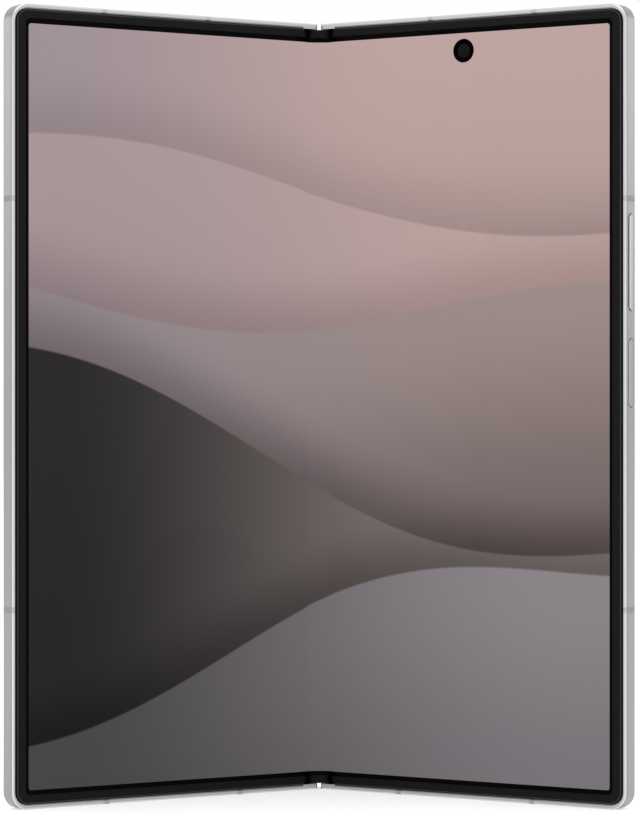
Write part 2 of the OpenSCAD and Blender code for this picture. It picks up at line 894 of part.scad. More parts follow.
// USB-C shell with its tongue
module usb_port() {
    shell = usb_wall + 0.02;
    color("silver") right_half() translate([usb_s, usb_v, 0.3 - top_z]) {
        linear_extrude(usb_len) rotate(90) difference() {
            pill(usb_t - 0.04, usb_w - 0.04);
            pill(usb_t - 2 * shell, usb_w - 2 * shell);
        }
        translate([0, 0, usb_len - 0.6]) linear_extrude(0.6) rotate(90)
            pill(usb_t - 2 * shell + eps, usb_w - 2 * shell + eps);
        translate([-3.35, -0.35, 1]) cube([6.7, 0.7, usb_len - 1.2]);
    }
}

module sub_board() {
    color("darkgreen") right_half() slab(1.2, 1.7) difference() {
        translate([16, -76]) square([24, 14]);
        translate([usb_s - 5, -77]) square([10, 8.5]);
    }
}

module bottom_speaker() {
    color("black") right_half() slab(1.3, 3.1) translate([50, -69.5]) rounded([18, 13], 1.5);
}

module top_speaker() {
    color("black") left_half() slab(1.3, 3.1) translate([46, 70.5]) rounded([14, 10], 1.2);
}

module left_board() {
    color("darkgreen") left_half() slab(1.3, 1.75) difference() {
        translate([14, 56]) square([36, 19.5]);
        translate([cover_cam[0], cover_cam[1]]) square([6.4, 6.4], center = true);
        translate([38.8, 65]) square([15, 12]);
    }
}

module vibration_motor() {
    color("gray") left_half() slab(1.3, 3.2) translate([24, -69]) rounded([14, 8], 1);
}

// Magnets along the outer wall that hold the halves shut
module latch_magnets() {
    color("slategray") for (z = [-66, -50])
        block([68.1, 1.2, z - 5], [69.6, 3.1, z + 5]);
}

module right_magnets() {
    right_half() latch_magnets();
}

module left_magnets() {
    left_half() latch_magnets();
}

// Screws through the feet of the rails
module rail_screws() {
    color("white") for (z0 = [-rail_z, rail_z], z = [-4, 0, 4])
        translate([bay_s + hinge_wall + 2.5, axis_y + rail_r1, z0 + z]) rotate([-90, 0, 0]) {
            cylinder(d = 1.6, h = 0.35);
        }
}

module right_screws() {
    right_half() rail_screws();
}

module left_screws() {
    left_half() rail_screws();
}

// ---- Card tray -------------------------------------------------------------

module sim_socket() {
    size = [sim_w + 1.6, sim_t + 0.9, sim_depth + 0.6];
    color("lightgray") left_half() difference() {
        translate([sim_s - size[0] / 2, sim_v - size[1] / 2, top_z - wall - 0.2 - size[2]]) cube(size);
        translate([sim_s - sim_w / 2 - 0.1, sim_v - sim_t / 2 - 0.1, top_z - wall - sim_depth - 0.1])
            cube([sim_w + 0.2, sim_t + 0.2, sim_depth + 1]);
    }
}

module card_outline(w, len, clip) {
    polygon([[0, 0], [w, 0], [w, len - clip], [w - clip, len], [0, len]]);
}

module sim_tray() {
    color("silver") left_half() difference() {
        union() {
            translate([sim_s - sim_face[0] / 2, sim_v - sim_face[1] / 2, top_z - 1.2])
                cube([sim_face[0], sim_face[1], 1.2]);
            translate([sim_s - sim_w / 2, sim_v - sim_t / 2, top_z - wall - sim_depth + 0.1])
                cube([sim_w, sim_t, sim_depth + wall - 1]);
        }
        translate([sim_s - 4.5, 0, top_z - wall - sim_depth + 1.2])
            slab(1, sim_v + sim_t / 2 - 0.15) card_outline(9, 12.5, 1.8);
        translate([sim_s + 5.6, sim_v, top_z - 1]) cylinder(d = 0.7, h = 2);
    }
}

module sim_card() {
    color("gold") left_half() translate([sim_s - 4.4, 0, top_z - wall - sim_depth + 1.3])
        slab(sim_v - sim_t / 2 + 0.02, sim_v + sim_t / 2 - 0.16) card_outline(8.8, 12.3, 1.8);
}

module right_antenna_bands() {
    right_half() antenna_bands();
}

module left_antenna_bands() {
    left_half() antenna_bands();
}

module right_bezel() {
    right_half() bezel();
}

module left_bezel() {
    left_half() bezel();
}

module inner_display_right() {
    right_half() display_panel(true);
}

module inner_display_left() {
    left_half() display_panel(false);
}

module right_display_plate() {
    right_half() display_plate(true);
}

module left_display_plate() {
    left_half() display_plate(false);
}

module right_hinge_rails() {
    right_half() hinge_rails();
}

module left_hinge_rails() {
    left_half() hinge_rails();
}

hinge_spine_cover();
hinge_cap_top();
hinge_cap_bottom();
rail_bracket_upper();
rail_bracket_lower();
sync_housing();
sync_shafts();
torque_washers();
fold_support_plate();
inner_display_fold();
hinge_flex_cables();
sync_arm_left();
sync_arm_right();
sync_idler_left();
sync_idler_right();
right_frame();
right_antenna_bands();
right_bezel();
inner_display_right();
right_display_plate();
right_hinge_rails();
rear_glass();
camera_island();
camera_lens_rings();
camera_lenses();
rear_cameras();
flash_led();
inner_camera();
main_board();
board_shields();
right_battery();
charging_coil();
usb_port();
sub_board();
bottom_speaker();
right_magnets();
right_screws();
key_flex();
volume_key();
side_key();
left_frame();
left_antenna_bands();
left_bezel();
inner_display_left();
left_display_plate();
left_hinge_rails();
cover_glass();
cover_display();
cover_camera();
left_battery();
left_board();
top_speaker();
vibration_motor();
sim_socket();
left_magnets();
left_screws();
sim_tray();
sim_card();
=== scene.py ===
"""Looks of a book-style foldable handset, built round its packed frame.

Every size is in metres in the frame's own axes, unless a name or a docstring says mm.
Pieces of a half are drawn flat, as (s, v, z): s outwards from the hinge, v from the
display side to the back, z up from mid-height. FoldGeometry turns them to the rest angle.
"""
import json
import logging
import math
from dataclasses import dataclass
from enum import Enum
from functools import cache, cached_property
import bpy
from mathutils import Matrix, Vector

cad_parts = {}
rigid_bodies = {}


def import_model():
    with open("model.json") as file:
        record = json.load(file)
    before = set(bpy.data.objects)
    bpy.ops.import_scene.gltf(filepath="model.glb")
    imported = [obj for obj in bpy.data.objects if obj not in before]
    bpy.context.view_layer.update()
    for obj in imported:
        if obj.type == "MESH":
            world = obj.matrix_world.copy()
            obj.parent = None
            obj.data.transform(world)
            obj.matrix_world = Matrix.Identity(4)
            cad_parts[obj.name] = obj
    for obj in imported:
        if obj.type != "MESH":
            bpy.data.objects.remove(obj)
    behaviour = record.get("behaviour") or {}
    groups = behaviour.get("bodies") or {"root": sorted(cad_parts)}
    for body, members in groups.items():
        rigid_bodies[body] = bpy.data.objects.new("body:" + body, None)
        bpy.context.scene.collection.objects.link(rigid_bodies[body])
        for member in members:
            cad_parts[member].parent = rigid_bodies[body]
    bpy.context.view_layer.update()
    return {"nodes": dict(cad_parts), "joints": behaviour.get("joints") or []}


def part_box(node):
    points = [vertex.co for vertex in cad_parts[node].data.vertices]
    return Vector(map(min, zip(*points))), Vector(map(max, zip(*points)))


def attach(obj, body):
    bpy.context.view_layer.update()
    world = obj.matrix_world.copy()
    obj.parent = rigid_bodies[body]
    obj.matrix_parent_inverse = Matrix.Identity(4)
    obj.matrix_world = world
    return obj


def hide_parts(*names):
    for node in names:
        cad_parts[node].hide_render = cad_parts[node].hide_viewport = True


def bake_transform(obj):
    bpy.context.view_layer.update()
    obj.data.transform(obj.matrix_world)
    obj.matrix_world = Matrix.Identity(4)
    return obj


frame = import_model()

from types import SimpleNamespace as Given
from typing import Callable, ClassVar, Iterable, Optional, Sequence

import bmesh
import bpy
from bpy.types import Material, Mesh, Node, NodeSocket as Socket, NodeTree, Object
from mathutils import Matrix, Vector

LOG = logging.getLogger("handset")
MM = 0.001
Rgb = tuple[float, float, float]
Outline = Sequence[tuple[float, float]]
Sockets = dict[str, Socket]
Value = float | tuple | Socket | Node


def linear(colour: Rgb) -> tuple[float, ...]:
    """Turns a display colour from 0 to 255 into linear red, green, blue and an alpha of 1."""
    shares = (value / 255 for value in colour)
    return (*(s / 12.92 if s <= 0.04045 else ((s + 0.055) / 1.055) ** 2.4 for s in shares), 1.0)


# ---- The fold ----


class Side(Enum):
    """The two halves of the handset, by the sign of their X."""

    LEFT = -1
    RIGHT = 1

    @property
    def half(self) -> str:
        """The half's name in the names of pieces."""
        return self.name.lower()

    @property
    def body(self) -> str:
        """The body of this half."""
        return f"{self.half}_half"

    @property
    def joint(self) -> dict:
        """The joint that folds this half."""
        return next(joint for joint in frame["joints"] if joint["name"] == f"fold_{self.half}")


@dataclass(frozen=True)
class FoldGeometry:
    """The hinge axes, and how a flat drawing is turned to the rest angle."""

    axis_depth: float = 0.95 * MM
    bend_length: float = 4.5 * MM
    middle_depth: float = 0.3 * MM
    spine: str = "hinge_spine"
    settling_rounds: int = 40
    settling_share: float = 0.6

    @cached_property
    def rest_angle(self) -> float:
        """How far each half is folded from flat at rest, in radians."""
        return -math.radians(Side.RIGHT.joint["range_deg"][0])

    @cached_property
    def mid_height(self) -> float:
        """Height of the handset's middle above its bottom edge."""
        low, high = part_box("right_frame")
        return (low.z + high.z) / 2

    def placed(self, side: Side, s: float, v: float, z: float, share: float = 1.0) -> Vector:
        """Places a point of a half's flat drawing.

        Args:
            side: The half.
            s: Distance from the hinge's centre plane.
            v: Depth behind the front lip.
            z: Height above mid-height.
            share: Share of the rest angle to turn by.

        Returns:
            The point in the frame's axes.
        """
        axis = Vector(side.joint["pos_m"])
        out, back = s - abs(axis.x), v - self.axis_depth
        turn = self.rest_angle * share
        across = abs(axis.x) + out * math.cos(turn) + back * math.sin(turn)
        along = axis.y - out * math.sin(turn) + back * math.cos(turn)
        return Vector((side.value * across, along, z + self.mid_height))

    def matrix(self, side: Side, s: float, v: float, z: float) -> Matrix:
        """Gives the matrix from flat directions (s, v, z) about a flat point.

        Args:
            side: The half.
            s: Distance from the hinge's centre plane.
            v: Depth behind the front lip.
            z: Height above mid-height.

        Returns:
            The matrix into the frame's axes.
        """
        origin = self.placed(side, s, v, z)
        steps = ((1, 0, 0), (0, 1, 0), (0, 0, 1))
        axes = [self.placed(side, s + a, v + b, z + c) - origin for a, b, c in steps]
        turned = Matrix([[axis[row] for axis in axes] for row in range(3)]).to_4x4()
        return Matrix.Translation(origin) @ turned

    def facing_back(self, side: Side, s: float, v: float, z: float) -> Matrix:
        """Gives the matrix that turns a local +Z to the back of a half at a flat point."""
        return self.matrix(side, s, v, z) @ Matrix.Rotation(-math.pi / 2, 4, "X")

    def facing_front(self, side: Side, s: float, v: float, z: float) -> Matrix:
        """Gives the matrix that turns a local +Z to the display side at a flat point."""
        return self.matrix(side, s, v, z) @ Matrix.Rotation(math.pi / 2, 4, "X")

    def flat_axes(self, side: Side) -> dict[str, Vector]:
        """Gives the hinge point and the outward and backward directions of a half at rest.

        Args:
            side: The half.

        Returns:
            The three vectors by the input names of flat_place.
        """
        hinge = self.placed(side, 0, 0, 0)
        out, back = self.placed(side, 1, 0, 0) - hinge, self.placed(side, 0, 1, 0) - hinge
        return {"hinge": hinge, "out": out, "back": back}

    def bend_ends(self, side: Side) -> tuple[Vector, Vector]:
        """Gives the points at rest between which sheets pass from the spine to the half."""
        start = self.placed(side, 0, self.middle_depth, 0, share=0)
        return start, self.placed(side, self.bend_length, self.middle_depth, 0)

    def bent(self, side: Side, s: float, v: float, z: float) -> Vector:
        """Places a point of the bending display at rest.

        The turn at a point depends on where the point comes to lie, so it is found by
        repeating the step until it settles.

        Args:
            side: The half.
            s: Distance from the hinge's centre plane.
            v: Depth behind the front lip.
            z: Height above mid-height.

        Returns:
            The point in the frame's axes.
        """
        start, end = self.bend_ends(side)
        reach = end - start
        share = 1.0
        for _ in range(self.settling_rounds):
            point = self.placed(side, s, v, z, share)
            part = min(max((point - start).dot(reach) / reach.length_squared, 0.0), 1.0)
            share += self.settling_share * (part * part * (3 - 2 * part) - share)
        return self.placed(side, s, v, z, share)


FOLD = FoldGeometry()


# ---- Node trees ----


MIX_COLOURS = slice(6, 8)
MIX_RESULT = 2


def label(name: str) -> str:
    """Gives the socket label of an argument's name, such as Drift Scale for drift_scale."""
    return name.replace("_", " ").title()


class Sketch:
    """Adds nodes to a node tree and wires them, one call a node."""

    def __init__(self, tree: NodeTree) -> None:
        """Starts on a tree."""
        self.tree = tree

    def add(self, kind: str, settings: Optional[dict] = None, *numbered: Value, **named: Value) -> Node:
        """Adds a node and fills its inputs.

        Args:
            kind: The node's type, such as ShaderNodeMath.
            settings: Properties of the node itself.
            *numbered: Its first inputs in order. A socket or node is linked, a value is set.
            **named: Inputs by name, with spaces as underscores.

        Returns:
            The new node.
        """
        node = self.tree.nodes.new(kind)
        for name, value in (settings or {}).items():
            setattr(node, name, value)
        for socket, value in zip(node.inputs, numbered):
            self.fill(socket, value)
        for name, value in named.items():
            self.fill(node.inputs[name.replace("_", " ")], value)
        return node

    def fill(self, socket: Socket, value: Value) -> None:
        """Links a socket to another one or to a node's first output, or sets its value.

        Args:
            socket: The input.
            value: What it gets.
        """
        if isinstance(value, (Node, Socket)):
            self.tree.links.new(value.outputs[0] if isinstance(value, Node) else value, socket)
        else:
            socket.default_value = value

    def group(self, build: Callable[[], NodeTree], **inputs: Value) -> Sequence[Socket]:
        """Places a shader node group, fills its inputs by name and gives back its outputs.

        Args:
            build: What makes the group's tree.
            **inputs: Inputs by argument name, such as drift_scale.

        Returns:
            The group's outputs.
        """
        node = self.add("ShaderNodeGroup", {"node_tree": build()})
        for name, value in inputs.items():
            self.fill(node.inputs[label(name)], value)
        return node.outputs

    def math(self, operation: str, *values: Value, clamp: bool = False) -> Socket:
        """Adds a Math node and gives back its value."""
        settings = {"operation": operation, "use_clamp": clamp}
        return self.add("ShaderNodeMath", settings, *values).outputs[0]

    def vector(self, operation: str, *values: Value) -> Socket:
        """Adds a Vector Math node and gives back its vector, or its value where it has one."""
        outputs = self.add("ShaderNodeVectorMath", {"operation": operation}, *values).outputs
        return outputs["Value" if operation in ("DOT_PRODUCT", "LENGTH") else "Vector"]

    def place(self) -> Socket:
        """Gives the place on the piece, in the frame's axes."""
        return self.add("ShaderNodeTexCoord").outputs["Object"]

    def noise(self, place: Socket, scale: Value, detail: float, **more: Value) -> Socket:
        """Adds a noise and gives back its value."""
        node = self.add("ShaderNodeTexNoise", Vector=place, Scale=scale, Detail=detail, **more)
        return node.outputs[0]

    def ramp(self, value: Value, low: Value, high: Value) -> Socket:
        """Maps a value from 0 at low to 1 at high, with round ends."""
        return self.add("ShaderNodeMapRange", {"interpolation_type": "SMOOTHSTEP"},
                        Value=value, From_Min=low, From_Max=high).outputs[0]

    def mix(self, share: Value, first: Value, second: Value, blend: str = "MIX") -> Socket:
        """Mixes two colours and gives back the colour.

        Args:
            share: How much of the second colour shows.
            first: The colour at 0.
            second: The colour at 1.
            blend: How the second colour is laid over the first.

        Returns:
            The mixed colour.
        """
        node = self.add("ShaderNodeMix", {"data_type": "RGBA", "blend_type": blend}, share)
        for socket, colour in zip(node.inputs[MIX_COLOURS], (first, second)):
            self.fill(socket, colour)
        return node.outputs[MIX_RESULT]


def add_input(tree: NodeTree, name: str, value: object) -> bpy.types.NodeTreeInterfaceSocket:
    """Adds a named input of the kind that holds a value to a node group.

    Args:
        tree: The node group.
        name: The input's label.
        value: A value of the kind that it holds.

    Returns:
        The new input of the group.
    """
    if isinstance(value, Material):
        kind = "Material"
    elif isinstance(value, tuple):
        kind = "Color" if len(value) == 4 else "Vector"
    else:
        kind = "Int" if isinstance(value, int) else "Float"
    return tree.interface.new_socket(name, in_out="INPUT", socket_type=f"NodeSocket{kind}")


def shader_group(**inputs: float | tuple) -> Callable:
    """Makes a drawing function into one that builds its shader node group once.

    Args:
        **inputs: Default of each input: a number, a vector of 3 or a colour of 4.

    Returns:
        The decorator. The function under it draws the nodes from the input sockets and
        returns the output sockets by label.
    """
    def decorate(draw: Callable[[Sketch, Given], Sockets]) -> Callable[[], NodeTree]:
        """Wraps the drawing function.

        Args:
            draw: Draws the group's nodes.

        Returns:
            What builds the group.
        """
        @cache
        def build() -> NodeTree:
            """Builds the group.

            Returns:
                The group's tree.
            """
            tree = bpy.data.node_groups.new(draw.__name__, "ShaderNodeTree")
            for name, default in inputs.items():
                add_input(tree, label(name), default).default_value = default
            entry = tree.nodes.new("NodeGroupInput").outputs
            made = draw(Sketch(tree), Given(**{name: entry[label(name)] for name in inputs}))
            kinds = {"VALUE": "NodeSocketFloat", "RGBA": "NodeSocketColor"}
            for name, socket in made.items():
                tree.interface.new_socket(name, in_out="OUTPUT", socket_type=kinds[socket.type])
            leave = tree.nodes.new("NodeGroupOutput")
            for name, socket in made.items():
                tree.links.new(socket, leave.inputs[name])
            return tree

        return build

    return decorate


GREY = (0.5, 0.5, 0.5, 1.0)
WHITE = (1.0, 1.0, 1.0, 1.0)
BLACK = (0.0, 0.0, 0.0, 1.0)


@shader_group(colour=GREY, roughness=0.4, scale=4000.0, speckle=0.05, drift_scale=25.0, drift=0.03)
def fine_grain(sketch: Sketch, given: Given) -> Sockets:
    """Speckle of a blasted, moulded or etched surface: a tint, a roughness and a height.

    Args:
        sketch: Where the nodes go.
        given: The group's inputs by name.

    Returns:
        The outputs by label.
    """
    place = sketch.place()
    speckle = sketch.noise(place, given.scale, detail=3.0, Roughness=0.6)
    drift = sketch.noise(place, given.drift_scale, detail=2.0)
    fine = sketch.math("MULTIPLY", sketch.math("SUBTRACT", speckle, 0.5), given.speckle)
    both = sketch.math("MULTIPLY_ADD", sketch.math("SUBTRACT", drift, 0.5), given.drift, fine)
    return {
        "Colour": sketch.mix(1.0, given.colour, sketch.math("ADD", 1.0, both), "MULTIPLY"),
        "Roughness": sketch.math("ADD", given.roughness, both, clamp=True),
        "Height": speckle,
    }


@shader_group(roughness=0.08, amount=0.05, scale=40.0)
def handling_marks(sketch: Sketch, given: Given) -> Sockets:
    """Faint wipe marks on a polished surface, as a change of roughness.

    Args:
        sketch: Where the nodes go.
        given: The group's inputs by name.

    Returns:
        The outputs by label.
    """
    upright = (1.0, 1.0, 0.35)
    place = sketch.vector("MULTIPLY", sketch.place(), upright)
    wipe = sketch.noise(place, given.scale, detail=5.0, Distortion=0.8)
    share = sketch.ramp(wipe, low=0.45, high=0.75)
    return {"Roughness": sketch.math("MULTIPLY_ADD", share, given.amount, given.roughness)}


@shader_group(hinge=(0.0, 0.0, 0.0), out=(1.0, 0.0, 0.0), back=(0.0, 1.0, 0.0))
def flat_place(sketch: Sketch, given: Given) -> Sockets:
    """Place on a half's flat drawing: across from the hinge, depth from the lip, height.

    Args:
        sketch: Where the nodes go.
        given: The group's inputs by name.

    Returns:
        The outputs by label.
    """
    reach = sketch.vector("SUBTRACT", sketch.place(), given.hinge)
    return {
        "Across": sketch.vector("DOT_PRODUCT", reach, given.out),
        "Depth": sketch.vector("DOT_PRODUCT", reach, given.back),
        "Height": sketch.add("ShaderNodeSeparateXYZ", Vector=reach).outputs[2],
    }


@shader_group(across=0.0, up=0.0, half_width=0.01, half_height=0.01, corner=0.001)
def rounded_outline(sketch: Sketch, given: Given) -> Sockets:
    """Distance from the outline of a rounded rectangle, below 0 inside it.

    Args:
        sketch: Where the nodes go.
        given: The group's inputs by name.

    Returns:
        The outputs by label.
    """
    sides = [
        sketch.math("SUBTRACT", sketch.math("ABSOLUTE", place),
                    sketch.math("SUBTRACT", reach, given.corner))
        for place, reach in ((given.across, given.half_width), (given.up, given.half_height))
    ]
    beyond = [sketch.math("MAXIMUM", side, 0.0) for side in sides]
    outside = sketch.vector("LENGTH", sketch.add("ShaderNodeCombineXYZ", None, *beyond))
    inside = sketch.math("MINIMUM", sketch.math("MAXIMUM", *sides), 0.0)
    return {"Distance": sketch.math("SUBTRACT", sketch.math("ADD", outside, inside), given.corner)}


@shader_group(distance=0.0, start=0.0, end=0.001, softness=0.02 * MM)
def stripe(sketch: Sketch, given: Given) -> Sockets:
    """Mask of the stretch between two distances, with soft edges.

    Args:
        sketch: Where the nodes go.
        given: The group's inputs by name.

    Returns:
        The outputs by label.
    """
    masks = [
        sketch.ramp(given.distance, sketch.math("SUBTRACT", edge, given.softness),
                    sketch.math("ADD", edge, given.softness))
        for edge in (given.start, given.end)
    ]
    return {"Mask": sketch.math("SUBTRACT", *masks)}


@shader_group(
    across=0.5, up=0.5, behind=GREY, rise=0.5, slope=0.0, swing=0.05, waves=4.0, phase=0.0, fade=0.3,
    softness=0.002, left=GREY, right=GREY, foot=GREY, cast=GREY, cast_length=0.08)
def dune_layer(sketch: Sketch, given: Given) -> Sockets:
    """One soft dune of a wallpaper, laid over the colours behind it.

    Args:
        sketch: Where the nodes go.
        given: The group's inputs by name.

    Returns:
        The outputs by label.
    """
    angle = sketch.math("MULTIPLY_ADD", given.across, given.waves, given.phase)
    crest = sketch.math("MULTIPLY_ADD", sketch.math("SINE", angle), given.swing, given.rise)
    crest = sketch.math("MULTIPLY_ADD", given.across, given.slope, crest)
    below = sketch.math("SUBTRACT", crest, given.up)
    above = sketch.math("SUBTRACT", given.up, crest)
    inside = sketch.ramp(below, sketch.math("MULTIPLY", given.softness, -1.0), given.softness)
    crest_tone = sketch.mix(sketch.ramp(given.across, low=0.05, high=0.95), given.left, given.right)
    foot_tone = sketch.mix(1.0, crest_tone, given.foot, "MULTIPLY")
    shade = sketch.mix(sketch.ramp(below, low=0.0, high=given.fade), crest_tone, foot_tone)
    cast = sketch.mix(sketch.ramp(above, low=-0.01, high=given.cast_length), given.cast, WHITE)
    dimmed = sketch.mix(1.0, given.behind, cast, "MULTIPLY")
    return {"Colour": sketch.mix(inside, dimmed, shade)}


# ---- Finishes ----


@dataclass(frozen=True)
class Finish:
    """An opaque surface with a fine grain, such as anodised metal or moulded plastic."""

    name: str
    colour: Rgb
    roughness: float
    metallic: float = 0.0
    speckle: float = 0.04
    drift: float = 0.02
    grain: float = 4000.0
    bump: float = 0.0
    coat: float = 0.0
    marks: float = 0.0
    specular: float = 0.5
    tint: Rgb = (255, 255, 255)
    coat_roughness: ClassVar[float] = 0.05
    relief_height: ClassVar[float] = 0.02 * MM

    @cache
    def material(self) -> Material:
        """Builds the material, once.

        Returns:
            The material.
        """
        made = bpy.data.materials.new(f"finish_{self.name}")
        made.use_nodes = True
        made.node_tree.nodes.clear()
        sketch = Sketch(made.node_tree)
        surface = sketch.add("ShaderNodeBsdfPrincipled", None, **self.surface(sketch))
        sketch.add("ShaderNodeOutputMaterial", Surface=surface)
        return made

    def surface(self, sketch: Sketch) -> dict[str, Value]:
        """Draws what feeds the surface shader.

        Args:
            sketch: Where the nodes go.

        Returns:
            The shader's inputs by name.
        """
        tint, rough, height = sketch.group(
            fine_grain, colour=linear(self.colour), roughness=self.roughness, scale=self.grain,
            speckle=self.speckle, drift=self.drift)
        inputs = {
            "Base Color": tint, "Roughness": self.polished(sketch, rough), "Metallic": self.metallic,
            "Specular IOR Level": self.specular, "Specular Tint": linear(self.tint),
            "Coat Weight": self.coat, "Coat Roughness": self.coat_roughness,
        }
        if self.bump:
            inputs["Normal"] = sketch.add(
                "ShaderNodeBump", Strength=self.bump, Distance=self.relief_height, Height=height)
        return inputs

    def polished(self, sketch: Sketch, rough: Value) -> Value:
        """Adds wipe marks to a roughness where the finish has them.

        Args:
            sketch: Where the nodes go.
            rough: The roughness without marks.

        Returns:
            The roughness.
        """
        if self.marks:
            rough = sketch.group(handling_marks, roughness=rough, amount=self.marks)[0]
        return rough


@dataclass(frozen=True)
class Metal(Finish):
    """A bare or anodised metal."""

    metallic: float = 1.0


@dataclass(frozen=True)
class Stripe:
    """A stripe of another colour between two distances, given in mm."""

    start: float
    end: float
    colour: Rgb
    softness: float = 0.02

    def lay(self, sketch: Sketch, distance: Socket, under: Socket) -> Socket:
        """Lays the stripe over a colour.

        Args:
            sketch: Where the nodes go.
            distance: What start and end are measured along, in metres.
            under: The colour outside the stripe.

        Returns:
            The new colour.
        """
        mask = sketch.group(stripe, distance=distance, start=self.start * MM, end=self.end * MM,
                            softness=self.softness * MM)[0]
        return sketch.mix(mask, under, linear(self.colour))


@dataclass(frozen=True)
class Outline2D:
    """A rounded rectangle in a flat drawing, in mm, for masks."""

    across: float
    up: float
    half_width: float
    half_height: float
    corner: float

    def distance(self, sketch: Sketch, across: Socket, up: Socket) -> Socket:
        """Gives the distance from the outline at a flat place."""
        return sketch.group(
            rounded_outline, across=sketch.math("SUBTRACT", across, self.across * MM),
            up=sketch.math("SUBTRACT", up, self.up * MM), half_width=self.half_width * MM,
            half_height=self.half_height * MM, corner=self.corner * MM)[0]


@dataclass(frozen=True)
class HalfFinish(Finish):
    """A finish of one half, whose colour may change with the place on its flat drawing.

    depth_stripes follow the depth behind the lip, across_stripes the distance from the
    hinge, and outline_stripes the distance from outline in the plane of the half. The rims
    round openings in the side face are painted shade: darker edges. Lengths are in mm.
    """

    side: Side = Side.RIGHT
    depth_stripes: tuple[Stripe, ...] = ()
    across_stripes: tuple[Stripe, ...] = ()
    outline: Optional[Outline2D] = None
    outline_stripes: tuple[Stripe, ...] = ()
    rims: tuple[Outline2D, ...] = ()
    # Painted shade round the openings in the side face.
    rim_stripe: ClassVar[Stripe] = Stripe(-1, 0.15, (122, 122, 124), 0.08)
    rim_end: ClassVar[float] = 2.8
    rim_fade: ClassVar[float] = 0.4
    side_face: ClassVar[float] = 71.3
    side_edge: ClassVar[float] = 0.02

    def surface(self, sketch: Sketch) -> dict[str, Value]:
        """Draws what feeds the surface shader, with the stripes laid over the plain colour.

        Args:
            sketch: Where the nodes go.

        Returns:
            The shader's inputs by name.
        """
        inputs = super().surface(sketch)
        across, depth, height = sketch.group(flat_place, **FOLD.flat_axes(self.side))
        colour = inputs["Base Color"]
        laid = [(item, depth) for item in self.depth_stripes]
        laid += [(item, across) for item in self.across_stripes]
        if self.outline:
            distance = self.outline.distance(sketch, across, height)
            laid += [(item, distance) for item in self.outline_stripes]
        for item, along in laid:
            colour = item.lay(sketch, along, colour)
        # Painted shade: a darker rim round each key opening on the side face, fading out towards the
        # back.
        for rim in self.rims:
            on_side = sketch.ramp(across, self.side_face * MM, (self.side_face + self.side_edge) * MM)
            near_lip = sketch.ramp(depth, self.rim_end * MM, (self.rim_end - self.rim_fade) * MM)
            rim_shaded = self.rim_stripe.lay(sketch, rim.distance(sketch, depth, height), colour)
            colour = sketch.mix(sketch.math("MULTIPLY", on_side, near_lip), colour, rim_shaded)
        return {**inputs, "Base Color": colour}


@dataclass(frozen=True)
class ClearGlass(Finish):
    """A clear or lightly tinted window or lens."""

    ior: float = 1.5

    def surface(self, sketch: Sketch) -> dict[str, Value]:
        """Draws what feeds the shader of a clear piece.

        Args:
            sketch: Where the nodes go.

        Returns:
            The shader's inputs by name.
        """
        return {
            "Base Color": linear(self.colour), "Roughness": self.polished(sketch, self.roughness),
            "Transmission Weight": 1.0, "IOR": self.ior,
        }


@dataclass(frozen=True)
class Dune:
    """One dune of the wallpaper: the line of its crest and its colours."""

    rise: float
    slope: float
    swing: float
    waves: float
    phase: float
    fade: float
    left: Rgb
    right: Rgb
    foot: Rgb
    cast: Rgb
    cast_length: float = 0.1

    def inputs(self) -> dict[str, Value]:
        """Gives the inputs of the dune's node group."""
        return {name: linear(value) if isinstance(value, tuple) else value
                for name, value in vars(self).items()}


@dataclass(frozen=True)
class LitScreen(Finish):
    """The inner display: a lit picture inside a black border, under a clear film."""

    width: float = 136 * MM
    height: float = 150.82 * MM
    centre_z: float = -0.04 * MM
    corner: float = 0.6 * MM
    edge: float = 0.06 * MM
    strength: float = 1.0
    sky_left: Rgb = (160, 145, 150)
    sky_right: Rgb = (190, 164, 160)
    horizon: Rgb = (143, 129, 125)
    dunes: tuple[Dune, ...] = ()

    def surface(self, sketch: Sketch) -> dict[str, Value]:
        """Draws what feeds the shader of a display.

        Args:
            sketch: Where the nodes go.

        Returns:
            The shader's inputs by name.
        """
        flat = sketch.add("ShaderNodeUVMap", {"uv_map": "screen"})
        across, up, _ = sketch.add("ShaderNodeSeparateXYZ", Vector=flat).outputs
        lit, picture = self.lit_area(sketch, across, up), self.picture(sketch, across, up)
        return {
            "Base Color": linear(self.colour), "Roughness": self.polished(sketch, self.roughness),
            "Specular IOR Level": self.specular, "Emission Strength": self.strength,
            "Emission Color": sketch.mix(lit, BLACK, picture),
        }

    def lit_area(self, sketch: Sketch, across: Socket, up: Socket) -> Socket:
        """Gives 1 inside the rounded lit area and 0 in the border.

        Args:
            sketch: Where the nodes go.
            across: Place across the lit area, from 0 to 1.
            up: Place up the lit area, from 0 to 1.

        Returns:
            The mask.
        """
        half_width, half_height = self.width / 2, self.height / 2
        distance = sketch.group(
            rounded_outline, across=sketch.math("MULTIPLY_ADD", across, self.width, -half_width),
            up=sketch.math("MULTIPLY_ADD", up, self.height, -half_height), half_width=half_width,
            half_height=half_height, corner=self.corner)[0]
        return sketch.ramp(distance, low=0.0, high=-self.edge)

    def picture(self, sketch: Sketch, across: Socket, up: Socket) -> Socket:
        """Draws the sky and lays the dunes over it, the farthest first.

        Args:
            sketch: Where the nodes go.
            across: Place across the lit area, from 0 to 1.
            up: Place up the lit area, from 0 to 1.

        Returns:
            The picture's colour.
        """
        rightward = sketch.ramp(across, low=0.0, high=0.7)
        downward = sketch.ramp(up, low=1.0, high=0.35)
        sky = sketch.mix(rightward, linear(self.sky_left), linear(self.sky_right))
        colour = sketch.mix(downward, sky, linear(self.horizon))
        for dune in self.dunes:
            colour = sketch.group(dune_layer, across=across, up=up, behind=colour, **dune.inputs())[0]
        return colour


